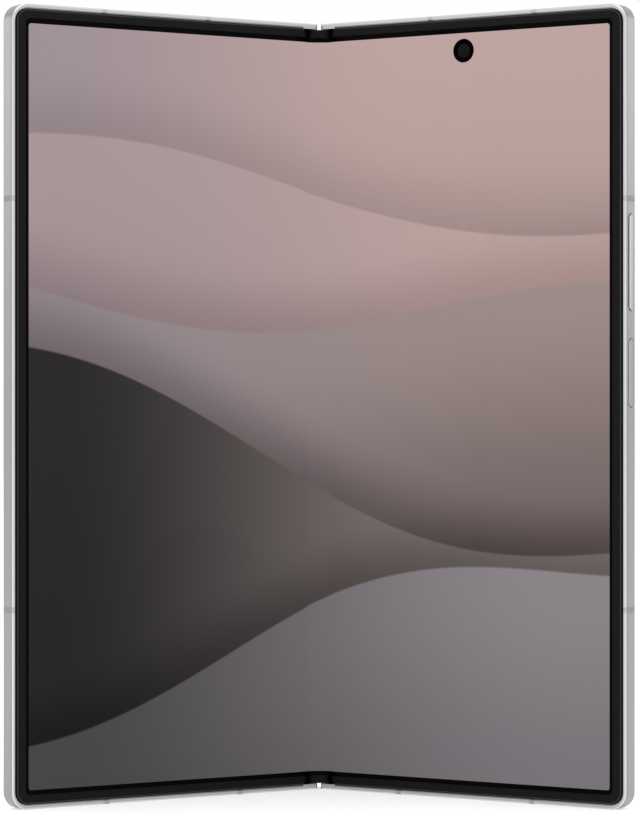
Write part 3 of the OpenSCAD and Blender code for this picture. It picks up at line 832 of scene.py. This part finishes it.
def seen(sketch: Sketch) -> Socket:
    """Gives 1 where the camera sees a surface, also in gloss and through glass.

    Args:
        sketch: Where the nodes go.

    Returns:
        The share, 0 or 1.
    """
    path = sketch.add("ShaderNodeLightPath").outputs
    mirrored = sketch.math("MAXIMUM", path["Is Glossy Ray"], path["Is Transmission Ray"])
    return sketch.math("MAXIMUM", path["Is Camera Ray"], mirrored)


@dataclass(frozen=True)
class GlowingFinish(Finish):
    """A white surface that glows where the camera sees it."""

    glow: float = 0.46

    def surface(self, sketch: Sketch) -> dict[str, Value]:
        """Adds the glow to what feeds the surface shader."""
        strength = sketch.math("MULTIPLY", seen(sketch), self.glow)
        return {**super().surface(sketch), "Emission Color": WHITE, "Emission Strength": strength}


# ---- The handset's finishes ----

ANODISED = Metal("anodised_silver", (153, 153, 154), 0.32, drift=0.03, bump=0.15)
# Painted highlight: the frame's front lip is lighter than the side, standing in for the light it
# catches.
LIP_PAINTED_LIGHT = Stripe(-0.5, 0.03, (177, 177, 178))
# Painted highlight: a bright line along the frame's chamfer.
CHAMFER_PAINTED_HIGHLIGHT = Stripe(0.03, 0.32, (215, 215, 216))
EDGE_SHADOW = Stripe(0.32, 0.8, (135, 135, 137), 0.12)
# Painted shade: the frames' end faces at the hinge are darker.
HINGE_END_PAINTED_SHADE = Stripe(-5, 0.66, (72, 72, 74), 0.04)
# Painted highlight on the antenna bands: a lighter front lip and a bright line along the chamfer.
ANTENNA_LIP_PAINTED_LIGHT = Stripe(-0.5, 0.03, (186, 186, 187))
ANTENNA_EDGE_PAINTED_HIGHLIGHT = Stripe(0.03, 0.32, (202, 202, 203))
BEZEL = Outline2D(0, 0, 70.85, 78.25, 2.65)
# Painted highlight: a lighter line on the bezel's rounded outer edge.
BEZEL_CREST_PAINTED_HIGHLIGHT = Stripe(-0.42, -0.18, (58, 58, 58), 0.03)
# Painted shade: black on the bezel's outer slope, next to the gap to the lip.
BEZEL_FOOT_PAINTED_SHADE = Stripe(-0.16, 0.1, (1, 1, 1))
KEY_OPENINGS = (Outline2D(2.2, 28.35, 1.05, 9.55, 1.05), Outline2D(2.2, 6.6, 1.05, 6.8, 1.05))
# Painted highlight on the volume key's front edge and painted shade on its back edge.
KEY_METAL = HalfFinish(
    "key_metal", (172, 172, 174), 0.3, metallic=1.0, speckle=0.03, bump=0.1,
    depth_stripes=(Stripe(0.5, 1.62, (208, 208, 210), 0.05), Stripe(2.75, 4, (142, 142, 144), 0.1)))
# Painted highlight on the side key's front edge; the stripe at its back edge is nearly its own colour.
SENSOR_METAL = HalfFinish(
    "sensor_metal", (156, 156, 158), 0.42, metallic=1.0, bump=0.15,
    depth_stripes=(Stripe(0.5, 1.62, (176, 176, 178), 0.05), Stripe(2.75, 4, (158, 158, 160), 0.1)))
TRAY_METAL = Metal("tray_metal", (156, 156, 158), 0.3, speckle=0.03, bump=0.1)
CAP_PLASTIC = Finish("cap_plastic", (8, 8, 8), 0.4, speckle=0.05, drift=0.04, bump=0.15, specular=0.12)
HINGE_STEEL = Metal("hinge_steel", (170, 172, 176), 0.3, speckle=0.06, grain=2500.0, bump=0.2)
SPRING_STEEL = Metal("spring_steel", (190, 190, 194), 0.22, speckle=0.03)
SHEET_METAL = Metal("sheet_metal", (196, 197, 200), 0.28, speckle=0.05, drift=0.05)
BACK_GLASS = Finish("etched_back_glass", (176, 177, 180), 0.3, speckle=0.03, drift=0.015, coat=0.25,
                    metallic=0.25, marks=0.04)
COVER_GLASS = HalfFinish(
    "cover_glass", (3, 3, 4), 0.04, speckle=0.1, drift=0.2, marks=0.05, specular=0.32, side=Side.LEFT,
    outline=Outline2D(36.6, 0, 32.4, 75.4, 1.6), outline_stripes=(Stripe(-80, 0, (26, 26, 31), 0.05),))
CAMERA_WINDOW = Finish("camera_window", (1, 1, 1), 0.1, speckle=0.2, drift=0.2, marks=0.03,
                       specular=0.01)
SMALL_LENS = Finish("small_lens", (4, 5, 5), 0.14, speckle=0.2, drift=0.3, marks=0.05, specular=0.06)
COVER_LENS = Finish("cover_lens", (3, 3, 8), 0.08, speckle=0.1, drift=0.4, specular=0.2,
                    tint=(170, 185, 255))
CAMERA_METAL = Metal("camera_metal", (150, 151, 154), 0.3, bump=0.1)
RING_METAL = Metal("ring_metal", (182, 183, 187), 0.16, speckle=0.03)
CAMERA_BLACK = Finish("camera_black", (7, 7, 9), 0.35, speckle=0.08, specular=0.2)
LENS_GLASS = ClearGlass("lens_glass", (236, 240, 248), 0.0, marks=0.02, ior=1.18)
LENS_COATING = Finish("lens_coating", (5, 6, 17), 0.05, speckle=0.1, drift=0.4, specular=0.55,
                      tint=(150, 170, 255))
LENS_PUPIL = Finish("lens_pupil", (2, 2, 4), 0.08, speckle=0.1, drift=0.4, specular=0.15)
LENS_BARREL = Metal("lens_barrel", (92, 92, 97), 0.3, speckle=0.05, bump=0.1)
FLASH_LENS = Finish("flash_lens", (244, 238, 206), 0.3, speckle=0.05, coat=0.6, grain=1500.0)
SOLDER_MASK = Finish("solder_mask", (24, 62, 48), 0.4, speckle=0.2, drift=0.1, grain=900.0, coat=0.3)
BATTERY_WRAP = Finish("battery_wrap", (28, 28, 30), 0.5, speckle=0.05, drift=0.05, coat=0.2)
COPPER = Metal("copper", (196, 122, 78), 0.3, speckle=0.08)
PORT_STEEL = Metal("port_steel", (176, 177, 180), 0.3)
GOLD = Metal("gold_contact", (224, 186, 104), 0.25)
SPEAKER_BLACK = Finish("speaker_black", (22, 22, 23), 0.55, speckle=0.1)
NICKEL = Metal("nickel", (190, 188, 184), 0.25, speckle=0.05)
FLEX_FILM = Finish("flex_film", (150, 86, 30), 0.35, speckle=0.1, grain=1200.0, coat=0.4)
CARD_PLASTIC = Finish("card_plastic", (222, 222, 220), 0.4, speckle=0.05)
STUDIO_WHITE = GlowingFinish("studio_white", (236, 236, 236), 0.9, speckle=0.01, drift=0.01,
                             grain=400.0, specular=0.0)
WALLPAPER = LitScreen(
    "inner_display_film", (1, 1, 1), 0.25, marks=0.03, specular=0.03,
    dunes=(
        Dune(rise=0.84, slope=-0.1, swing=0.03, waves=5.2, phase=0.6, fade=0.4,
             left=(168, 150, 153), right=(188, 162, 158), foot=(232, 230, 232), cast=(236, 234, 235)),
        Dune(rise=0.66, slope=-0.04, swing=0.045, waves=4.4, phase=3.2, fade=0.3,
             left=(145, 134, 138), right=(156, 139, 134), foot=(196, 196, 200), cast=(226, 223, 224)),
        Dune(rise=0.52, slope=-0.2, swing=0.06, waves=4.8, phase=1.3, fade=0.4,
             left=(42, 40, 41), right=(134, 124, 121), foot=(236, 236, 238), cast=(205, 203, 204)),
        Dune(rise=0.1, slope=0.2, swing=0.045, waves=5.5, phase=4.4, fade=0.3,
             left=(71, 69, 70), right=(138, 132, 136), foot=(222, 222, 224), cast=(190, 188, 190)),
    ))


def dress(finish: Finish, *nodes: str) -> None:
    """Gives CAD nodes a finish.

    Args:
        finish: The finish.
        *nodes: Names of the nodes.
    """
    for name in nodes:
        slots = frame["nodes"][name].data.materials
        slots.clear()
        slots.append(finish.material())


# ---- Meshes ----

MERGE_DISTANCE = 1e-7


def put(name: str, data: bpy.types.ID) -> Object:
    """Makes an object of some data and links it to the scene.

    Args:
        name: The object's name.
        data: Its mesh, lamp or camera.

    Returns:
        The linked object.
    """
    made = bpy.data.objects.new(name, data)
    bpy.context.scene.collection.objects.link(made)
    return made


def settle(name: str, mesh: Mesh, place: Matrix, smooth: float = 35.0) -> Object:
    """Makes a mesh a piece, with its place in its mesh and its faces outwards.

    Args:
        name: The piece's name.
        mesh: The mesh, in local axes.
        place: From local axes to the frame's.
        smooth: Edges sharper than this many degrees stay sharp.

    Returns:
        The linked object.
    """
    mesh.transform(place)
    cleaner = bmesh.new()
    cleaner.from_mesh(mesh)
    bmesh.ops.remove_doubles(cleaner, verts=cleaner.verts, dist=MERGE_DISTANCE)
    bmesh.ops.recalc_face_normals(cleaner, faces=cleaner.faces)
    cleaner.to_mesh(mesh)
    cleaner.free()
    mesh.polygons.foreach_set("use_smooth", [True] * len(mesh.polygons))
    mesh.set_sharp_from_angle(angle=math.radians(smooth))
    return put(name, mesh)


def new_mesh(name: str, points: Iterable[Sequence[float]], faces: Sequence[Sequence[int]]) -> Mesh:
    """Makes a mesh of points and of the numbers of each face's points.

    Args:
        name: The mesh's name.
        points: Its points.
        faces: Its faces.

    Returns:
        The mesh.
    """
    mesh = bpy.data.meshes.new(name)
    mesh.from_pydata([tuple(point) for point in points], [], faces)
    return mesh


def evaluated_mesh(piece: Object) -> Mesh:
    """Gives a new mesh of an object with its modifiers done."""
    bpy.context.view_layer.update()
    return bpy.data.meshes.new_from_object(piece.evaluated_get(bpy.context.evaluated_depsgraph_get()))


def dome(radius: float, rise: float, steps: int = 10, edge: float = 0.02) -> Outline:
    """Gives a lens profile with a round front, in mm.

    Args:
        radius: Radius of the lens.
        rise: Height of the front's middle.
        steps: Steps from the middle to the rim.
        edge: Thickness at the rim.

    Returns:
        The closed profile.
    """
    turns = (math.pi / 2 * step / steps for step in range(steps + 1))
    arc = [(radius * math.sin(turn), rise * math.cos(turn)) for turn in turns]
    return (*arc, (radius, -edge), (0.0, -edge))


def fit_out(piece: Object, body: str, finish: Finish, slot: str) -> Object:
    """Gives a piece its finish and body, and gives it back.

    Args:
        piece: The piece.
        body: The body that it rides on.
        finish: Its finish.
        slot: Not used.

    Returns:
        The piece.
    """
    piece.data.materials.clear()
    piece.data.materials.append(finish.material())
    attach(piece, body)
    return piece


@dataclass(frozen=True)
class Turned:
    """A round piece, made by turning a closed profile about the local Z axis.

    The profile gives the radius and height of each corner in mm, and a point on the axis
    has radius 0. The lift, in mm, moves the piece along the axis. A name may hold {} for a
    number.
    """

    name: str
    profile: Outline
    finish: Finish
    slot: str
    lift: float = 0.0
    steps: int = 64

    def turn(self, place: Matrix, number: int = 0) -> Object:
        """Turns the piece.

        Args:
            place: From local axes to the frame's.
            number: The number in its name.

        Returns:
            The linked object, without a finish.
        """
        points = [
            (radius * MM * math.cos(turn), radius * MM * math.sin(turn), height * MM)
            for turn in (2 * math.pi * step / self.steps for step in range(self.steps))
            for radius, height in self.profile
        ]
        count = len(self.profile)
        faces = []
        for step in range(self.steps):
            here, there = step * count, (step + 1) % self.steps * count
            for corner in range(count):
                after = (corner + 1) % count
                if self.profile[corner][0] or self.profile[after][0]:
                    faces.append((here + corner, here + after, there + after, there + corner))
        name = self.name.format(number)
        lifted = place @ Matrix.Translation((0, 0, self.lift * MM))
        return settle(name, new_mesh(name, points, faces), lifted)

    def build(self, side: Side, place: Matrix, number: int = 0) -> Object:
        """Turns the piece and fits it out on a half."""
        return fit_out(self.turn(place, number), side.body, self.finish, self.slot)


# ---- Repeated pieces, by Geometry Nodes ----


@dataclass(frozen=True)
class Repeat:
    """What repeats on a piece, made by a Geometry Nodes tree.

    Each kind adds its sizes as fields, which become the tree's named inputs, and draws
    its shape from them.
    """

    name: str
    finish: Finish
    count: int
    smooth: ClassVar[float] = 35.0

    def draw(self, sketch: Sketch, given: Given) -> Node:
        """Makes the shape's nodes from the input sockets and gives back the geometry."""
        raise NotImplementedError

    def build(self, slot: str, place: Matrix) -> Object:
        """Runs the tree into a plain mesh of the right half and fits it out.

        Args:
            slot: Passed on to fit_out, which does not use it.
            place: From local axes to the frame's.

        Returns:
            The linked object.
        """
        values = {**vars(self), "material": self.finish.material()}
        del values["name"], values["finish"]
        tree = bpy.data.node_groups.new(self.name, "GeometryNodeTree")
        inputs = {name: add_input(tree, label(name), value) for name, value in values.items()}
        tree.interface.new_socket("Geometry", in_out="OUTPUT", socket_type="NodeSocketGeometry")
        sketch = Sketch(tree)
        entry = tree.nodes.new("NodeGroupInput").outputs
        given = Given(**{name: entry[label(name)] for name in values})
        real = sketch.add("GeometryNodeRealizeInstances", Geometry=self.draw(sketch, given))
        dressed = sketch.add("GeometryNodeSetMaterial", Geometry=real, Material=given.material)
        sketch.add("NodeGroupOutput", Geometry=dressed)
        carrier = put(f"{self.name}_carrier", bpy.data.meshes.new(self.name))
        step = carrier.modifiers.new("repeat", "NODES")
        step.node_group = tree
        for name, socket in inputs.items():
            step[socket.identifier] = values[name]
        mesh = evaluated_mesh(carrier)
        bpy.data.objects.remove(carrier)
        return fit_out(settle(self.name, mesh, place, self.smooth), Side.RIGHT.body, self.finish, slot)


@dataclass(frozen=True)
class RowOfBlocks(Repeat):
    """A row of equal blocks, such as contacts."""

    pitch: tuple[float, float, float]
    size: tuple[float, float, float]

    def draw(self, sketch: Sketch, given: Given) -> Node:
        """Sets a block on each point of a line.

        Args:
            sketch: Where the nodes go.
            given: The tree's inputs by name.

        Returns:
            The geometry.
        """
        line = sketch.add("GeometryNodeMeshLine", Count=given.count, Offset=given.pitch)
        block = sketch.add("GeometryNodeMeshCube", Size=given.size)
        return sketch.add("GeometryNodeInstanceOnPoints", Points=line, Instance=block)


@dataclass(frozen=True)
class NestedRings(Repeat):
    """Rings of round wire inside one another, such as a coil's turns."""

    first_radius: float
    pitch: float
    wire: float
    smooth: ClassVar[float] = 60.0
    ring_steps: ClassVar[int] = 96
    wire_steps: ClassVar[int] = 8

    def draw(self, sketch: Sketch, given: Given) -> Node:
        """Widens a circle for each ring and runs the wire's section along them all.

        Args:
            sketch: Where the nodes go.
            given: The tree's inputs by name.

        Returns:
            The geometry.
        """
        points = sketch.add("GeometryNodeMeshLine", Count=given.count, Offset=(0, 0, 0))
        ring = sketch.add("GeometryNodeCurvePrimitiveCircle", Radius=1.0, Resolution=self.ring_steps)
        number = sketch.add("GeometryNodeInputIndex")
        radius = sketch.math("MULTIPLY_ADD", number, given.pitch, given.first_radius)
        scale = sketch.add("ShaderNodeCombineXYZ", None, radius, radius, 1.0)
        placed = sketch.add("GeometryNodeInstanceOnPoints", Points=points, Instance=ring, Scale=scale)
        real = sketch.add("GeometryNodeRealizeInstances", Geometry=placed)
        section = sketch.add("GeometryNodeCurvePrimitiveCircle", Radius=given.wire,
                             Resolution=self.wire_steps)
        return sketch.add("GeometryNodeCurveToMesh", Curve=real, Profile_Curve=section)


# ---- Sub-assemblies ----


@dataclass(frozen=True)
class BentSheet:
    """A thin sheet on one side of the hinge, built bent to the rest angle."""

    name: str
    side: Side
    front: float
    back: float
    stations: Sequence[float]
    half_heights: Sequence[float]
    centre_z: float = 0.0
    smooth: ClassVar[float] = 50.0

    def build(self) -> Object:
        """Builds the closed sheet at rest, with its flat place in a UV map.

        Returns:
            The linked object.
        """
        flat = [
            (s, v, z + self.centre_z)
            for s, tall in zip(self.stations, self.half_heights)
            for v, z in ((self.front, -tall), (self.front, tall), (self.back, tall), (self.back, -tall))
        ]
        corners, last = 4, len(flat) - 1
        faces = [(0, 1, 2, 3), (last, last - 1, last - 2, last - 3)]
        for start in range(0, len(flat) - corners, corners):
            for corner in range(corners):
                here, after = start + corner, start + (corner + 1) % corners
                faces.append((here, here + corners, after + corners, after))
        mesh = new_mesh(self.name, [FOLD.bent(self.side, *place) for place in flat], faces)
        piece = settle(self.name, mesh, Matrix(), self.smooth)
        screen = piece.data.uv_layers.new(name="screen")
        for loop in piece.data.loops:
            s, _, z = flat[loop.vertex_index]
            up = (z - WALLPAPER.centre_z) / WALLPAPER.height
            screen.data[loop.index].uv = (0.5 + self.side.value * s / WALLPAPER.width, 0.5 + up)
        return piece

    def fit_out(self, piece: Object, finish: Finish, slot: str, *replaced: str) -> None:
        """Gives the sheet its finish, sets its place into its mesh, and hides the CAD nodes that it
        replaces.

        Args:
            piece: The built sheet.
            finish: Its finish.
            slot: Not used.
            *replaced: CAD nodes whose place it takes.
        """
        piece.data.materials.append(finish.material())
        start, end = FOLD.bend_ends(self.side)
        self.side.body
        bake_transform(piece)
        for node in replaced:
            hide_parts(node)


def sunk_window(radius: float, depth: float, rim: float = 0.06, well: float = 0.66,
                floor: float = 0.8) -> Outline:
    """Gives the profile of a window with a shallow well in its middle, in mm.

    Args:
        radius: Radius of the window.
        depth: Depth of the well. The window is twice as thick.
        rim: Width of the bevel round the front.
        well: Share of the radius that the well takes.
        floor: Share of the well that its flat floor takes.

    Returns:
        The closed profile.
    """
    return ((0, -2 * depth), (radius, -2 * depth), (radius, -rim), (radius - rim, 0),
            (radius * well, 0), (radius * well * floor, -depth), (0, -depth))


@dataclass(frozen=True)
class InnerCamera:
    """The punch-hole camera behind the display's film, with its profiles in mm."""

    s: float = 34.85 * MM
    z: float = 71.79 * MM
    film: float = 0.12 * MM
    cutter: Turned = Turned(
        "camera_cutter", ((0, -1), (2.4, -1), (2.4, 1), (0, 1)), CAMERA_BLACK, "", steps=96)
    window: Turned = Turned(
        "inner_camera_window", sunk_window(2.38, 0.1), CAMERA_WINDOW, "camera_black")
    lens: Turned = Turned("inner_camera_lens", dome(1.3, 0.08), SMALL_LENS, "lens_glass", lift=-0.1)

    def build(self) -> None:
        """Builds the black window and the small lens in it."""
        place = FOLD.facing_front(Side.RIGHT, self.s, self.film, self.z)
        self.window.build(Side.RIGHT, place)
        self.lens.build(Side.RIGHT, place)
        dress(CAMERA_BLACK, "inner_camera")


@dataclass(frozen=True)
class InnerDisplay:
    """The folding display, as two sheets that meet on the spine."""

    front: float = 0.1 * MM
    back: float = 0.5 * MM
    outer: float = 69.6 * MM
    flat_height: float = 77.0 * MM
    fold_height: float = 76.25 * MM
    bend: float = 4.6 * MM
    bend_steps: int = 26
    flat_start: float = 4.65 * MM
    flat_shares: tuple[float, ...] = (0, 0.1, 0.3, 0.5, 0.7, 0.9, 1)
    camera: InnerCamera = InnerCamera()

    def build(self) -> None:
        """Builds both sheets and cuts the camera hole."""
        bends = [self.bend * count / self.bend_steps for count in range(self.bend_steps + 1)]
        flats = [self.flat_start + (self.outer - self.flat_start) * share for share in self.flat_shares]
        heights = [self.fold_height] * len(bends) + [self.flat_height] * len(flats)
        for side in Side:
            sheet = BentSheet(f"display_film_{side.half}", side, self.front, self.back,
                              [*bends, *flats], heights)
            piece = sheet.build()
            if side is Side.RIGHT:
                self.cut_camera_hole(piece)
            middle = ("inner_display_fold",) if side is Side.LEFT else ()
            sheet.fit_out(piece, WALLPAPER, "display_stack", f"inner_display_{side.half}", *middle)

    def cut_camera_hole(self, piece: Object) -> None:
        """Cuts the round hole that the inner camera looks through.

        Args:
            piece: The right sheet.
        """
        camera = self.camera
        cutter = camera.cutter.turn(FOLD.facing_front(Side.RIGHT, camera.s, self.front, camera.z))
        step = piece.modifiers.new("hole", "BOOLEAN")
        step.object, step.operation, step.solver = cutter, "DIFFERENCE", "EXACT"
        mesh = evaluated_mesh(piece)
        piece.modifiers.clear()
        piece.data = mesh
        mesh.materials.clear()
        bpy.data.objects.remove(cutter)


@dataclass(frozen=True)
class Hinge:
    """The spine: its cover, end caps, rails, gears and the cables across it."""

    flex_front: float = 0.82 * MM
    flex_back: float = 0.9 * MM
    flex_reach: float = 8.0 * MM
    flex_half: float = 5.0 * MM
    flex_places: tuple[float, ...] = (-22.0 * MM, 22.0 * MM)
    flex_steps: int = 32

    def build(self) -> None:
        """Dresses the hinge and builds its flex cables."""
        dress(ANODISED, "hinge_spine_cover")
        dress(CAP_PLASTIC, "hinge_cap_top", "hinge_cap_bottom")
        dress(HINGE_STEEL, "rail_bracket_upper", "rail_bracket_lower", "sync_housing")
        dress(SPRING_STEEL, "sync_shafts", "torque_washers")
        dress(SHEET_METAL, "fold_support_plate")
        stations = [self.flex_reach * count / self.flex_steps for count in range(self.flex_steps + 1)]
        half_heights = [self.flex_half] * len(stations)
        for side in Side:
            half = side.half
            dress(HINGE_STEEL, f"sync_arm_{half}", f"sync_idler_{half}", f"{half}_hinge_rails")
            dress(SPRING_STEEL, f"{half}_screws")
            dress(SHEET_METAL, f"{half}_display_plate")
            for number, z in enumerate(self.flex_places, 1):
                sheet = BentSheet(f"flex_cable_{half}_{number}", side, self.flex_front, self.flex_back,
                                  stations, half_heights, z)
                sheet.fit_out(sheet.build(), FLEX_FILM, "flex_amber", "hinge_flex_cables")


@dataclass(frozen=True)
class Frames:
    """The frames of both halves with their antenna windows, bezels and keys."""

    def build(self) -> None:
        """Dresses the frames and what is set in them."""
        for side in Side:
            half = side.half
            metal = {**vars(ANODISED), "name": f"anodised_{half}"}
            dress(HalfFinish(
                **metal, side=side, depth_stripes=(LIP_PAINTED_LIGHT, CHAMFER_PAINTED_HIGHLIGHT, EDGE_SHADOW),
                across_stripes=(HINGE_END_PAINTED_SHADE,), rims=KEY_OPENINGS if side is Side.RIGHT else ()),
                f"{half}_frame")
            dress(HalfFinish(
                f"antenna_plastic_{half}", (146, 146, 147), 0.45, speckle=0.03, bump=0.1, side=side,
                depth_stripes=(ANTENNA_LIP_PAINTED_LIGHT, ANTENNA_EDGE_PAINTED_HIGHLIGHT)), f"{half}_antenna_bands")
            dress(HalfFinish(
                f"bezel_plastic_{half}", (8, 8, 8), 0.45, speckle=0.05, drift=0.03, bump=0.2,
                specular=0.115, side=side, outline=BEZEL, outline_stripes=(BEZEL_CREST_PAINTED_HIGHLIGHT, BEZEL_FOOT_PAINTED_SHADE)),
                f"{half}_bezel")
        dress(KEY_METAL, "volume_key")
        dress(SENSOR_METAL, "side_key")
        dress(TRAY_METAL, "sim_tray")


def barrel(ring: int, inner: float, top: float, wire: float = 0.05) -> Turned:
    """Gives a ring that lies in the wells of the rear cameras, in mm.

    Args:
        ring: Its number in the well.
        inner: Its inner radius.
        top: Height of its middle in the well.
        wire: Half its thickness, and a quarter of its width.

    Returns:
        The ring, for any of the wells.
    """
    corners = ((0, 0), (1, 1), (3, 1), (4, 0), (4, -1), (0, -1))
    profile = tuple((inner + wire * out, top + wire * up) for out, up in corners)
    return Turned(f"camera_barrel_{{}}_{ring}", profile, LENS_BARREL, "camera_black", steps=96)


@dataclass(frozen=True)
class Backs:
    """The rear glass, the cover display and the cameras, with their profiles in mm."""

    lens_s: float = 58.1 * MM
    lens_places: tuple[float, ...] = (33.6 * MM, 48.2 * MM, 62.8 * MM)
    window_v: float = 5.0 * MM
    window: Turned = Turned(
        "camera_window_{}", ((0, 0), (4.55, 0), (4.55, 0.32), (4.47, 0.4), (0, 0.4)),
        LENS_GLASS, "lens_glass", steps=96)
    well: Turned = Turned(
        "camera_well_{}",
        ((4.55, -0.02), (3.5, -0.02), (3.4, -0.1), (2.9, -0.14), (2.8, -0.2), (2.4, -0.22), (2.3, -0.26),
         (2.1, -0.26), (2.1, -0.28), (4.55, -0.28)),
        CAMERA_BLACK, "camera_black", steps=96)
    barrels: tuple[Turned, ...] = (barrel(1, 3.46, -0.06), barrel(2, 2.34, -0.24))
    element: Turned = Turned(
        "camera_element_{}", dome(2.08, 0.24), LENS_COATING, "lens_glass", lift=-0.25)
    pupil: Turned = Turned(
        "camera_pupil_{}", dome(0.95, 0.06), LENS_PUPIL, "camera_black", lift=-0.04)
    cover_camera: tuple[float, float, float] = (35.8 * MM, 4.15 * MM, 71.5 * MM)
    cover_ring: Turned = Turned(
        "cover_camera_ring", ((1.9, -0.1), (1.9, 0), (1.5, 0), (1.1, -0.08), (1.1, -0.1)),
        CAMERA_BLACK, "camera_black")
    cover_lens: Turned = Turned(
        "cover_camera_lens", dome(1.05, 0.07), COVER_LENS, "lens_glass", lift=-0.08)

    def build(self) -> None:
        """Builds the lenses and dresses both backs."""
        dress(BACK_GLASS, "rear_glass")
        dress(COVER_GLASS, "cover_glass")
        dress(CAMERA_METAL, "camera_island")
        dress(RING_METAL, "camera_lens_rings")
        dress(CAMERA_BLACK, "rear_cameras", "cover_camera", "cover_display")
        dress(FLASH_LENS, "flash_led")
        for number, z in enumerate(self.lens_places, 1):
            place = FOLD.facing_back(Side.RIGHT, self.lens_s, self.window_v, z)
            window = self.window.build(Side.RIGHT, place, number)
            if number == 1:
                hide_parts("camera_lenses")
            for piece in (self.well, *self.barrels, self.element, self.pupil):
                piece.build(Side.RIGHT, place, number)
        place = FOLD.facing_back(Side.LEFT, *self.cover_camera)
        self.cover_ring.build(Side.LEFT, place)
        self.cover_lens.build(Side.LEFT, place)


@dataclass(frozen=True)
class Ports:
    """The charging port's contacts, the charging coil and the inner parts."""

    port_s: float = 35.0 * MM
    port_depth: float = 2.6 * MM
    contacts: int = 12
    contact_rows: tuple[tuple[str, float], ...] = (
        ("usb_contacts_front", 1.84 * MM), ("usb_contacts_back", 2.56 * MM))
    pitch: tuple[float, float, float] = (0.5 * MM, 0, 0)
    contact: tuple[float, float, float] = (0.25 * MM, 0.03 * MM, 2.8 * MM)
    coil_place: tuple[float, float, float] = (36 * MM, 3.47 * MM, -14 * MM)
    coil: NestedRings = NestedRings(
        "charging_coil_turns", COPPER, 11, first_radius=12.3 * MM, pitch=0.9 * MM, wire=0.13 * MM)

    def build(self) -> None:
        """Builds the contacts and the coil's turns, and dresses the electronics."""
        low = self.port_depth - FOLD.mid_height
        for name, v in self.contact_rows:
            row = RowOfBlocks(name, GOLD, self.contacts, self.pitch, self.contact)
            centred = Matrix.Translation(Vector(self.pitch) * (-(self.contacts - 1) / 2))
            row.build("port_steel", FOLD.matrix(Side.RIGHT, self.port_s, v, low) @ centred)
        turns = self.coil.build("coil_copper", FOLD.facing_back(Side.RIGHT, *self.coil_place))
        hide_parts("charging_coil")
        for finish, *nodes in (
            (SOLDER_MASK, "main_board", "sub_board", "left_board"),
            (SHEET_METAL, "board_shields", "sim_socket", "vibration_motor"),
            (BATTERY_WRAP, "left_battery", "right_battery"),
            (SPEAKER_BLACK, "bottom_speaker", "top_speaker"), (NICKEL, "left_magnets", "right_magnets"),
            (PORT_STEEL, "usb_port"), (FLEX_FILM, "key_flex"), (CARD_PLASTIC, "sim_card"),
        ):
            dress(finish, *nodes)


@dataclass(frozen=True)
class Lamp:
    """A soft rectangular lamp, by how bright its face is."""

    name: str
    place: tuple[float, float, float]
    width: float
    height: float
    radiance: float

    def hang(self, target: Vector) -> None:
        """Hangs the lamp.

        Args:
            target: The point that it is aimed at.
        """
        data = bpy.data.lights.new(self.name, "AREA")
        data.shape, data.size, data.size_y = "RECTANGLE", self.width, self.height
        data.energy = self.radiance * math.pi * self.width * self.height
        lamp = put(self.name, data)
        lamp.location = self.place
        lamp.rotation_euler = (target - Vector(self.place)).to_track_quat("-Z", "Y").to_euler()


@dataclass(frozen=True)
class Studio:
    """The camera, the lamps, the floor and the white surround."""

    camera_distance: float = 700.9 * MM
    lens_mm: float = 149.756
    shift: tuple[float, float] = (0.00106, -0.00056)
    nearest: float = 0.01
    floor_half: float = 3.0
    fill: float = 0.85
    lamps: tuple[Lamp, ...] = (
        Lamp("front_left_strip", (-1.15, -0.55, 0.4), 0.9, 0.6, 0.55),
        Lamp("front_right_strip", (1.15, -0.55, 0.4), 0.9, 0.6, 0.4),
        Lamp("back_left_strip", (-1.15, 0.48, 0.34), 0.9, 0.3, 0.8),
        Lamp("back_right_strip", (1.15, 0.48, 0.34), 0.9, 0.3, 0.8),
        Lamp("top_lamp", (0.0, -0.3, 1.4), 1.2, 1.2, 0.6),
    )

    def build(self) -> None:
        """Builds the camera and the whole studio."""
        self.build_camera()
        for lamp in self.lamps:
            lamp.hang(Vector((0, 0, FOLD.mid_height)))
        self.build_floor()
        self.build_world()
        bpy.context.scene.view_settings.view_transform = "Standard"

    def build_camera(self) -> None:
        """Sets the camera level with mid-height, square to the hinge."""
        data = bpy.data.cameras.new("camera")
        data.lens, data.clip_start = self.lens_mm, self.nearest
        data.shift_x, data.shift_y = self.shift
        camera = put("camera", data)
        depth = Side.RIGHT.joint["pos_m"][1] - FOLD.axis_depth - self.camera_distance
        camera.location = (0, depth, FOLD.mid_height)
        camera.rotation_euler = (math.pi / 2, 0, 0)
        bpy.context.scene.camera = camera

    def build_floor(self) -> None:
        """Lays the white floor that keeps the handset's shadow."""
        half = self.floor_half
        corners = [(-half, -half, 0), (half, -half, 0), (half, half, 0), (-half, half, 0)]
        floor = settle("floor", new_mesh("floor", corners, [(0, 1, 2, 3)]), Matrix())
        floor.data.materials.append(STUDIO_WHITE.material())

    def build_world(self) -> None:
        """Makes the surround white to the camera and in gloss, and softer as a light."""
        world = bpy.data.worlds.new("surround")
        world.use_nodes = True
        world.node_tree.nodes.clear()
        sketch = Sketch(world.node_tree)
        strength = sketch.math("MULTIPLY_ADD", seen(sketch), 1 - self.fill, self.fill)
        light = sketch.add("ShaderNodeBackground", Color=WHITE, Strength=strength)
        sketch.add("ShaderNodeOutputWorld", Surface=light)
        bpy.context.scene.world = world


def main() -> None:
    """Builds the studio and every sub-assembly, and logs the pieces that each one adds."""
    logging.basicConfig(level=logging.INFO, format="%(message)s")
    before = set(bpy.data.objects)
    for part in (Studio(), InnerDisplay(), InnerCamera(), Hinge(), Frames(), Backs(), Ports()):
        part.build()
        pieces = sorted(piece.name for piece in set(bpy.data.objects) - before)
        before = set(bpy.data.objects)
        LOG.info("built %s: %s", type(part).__name__, ", ".join(pieces) or "finishes only")


if __name__ == "__main__":
    main()
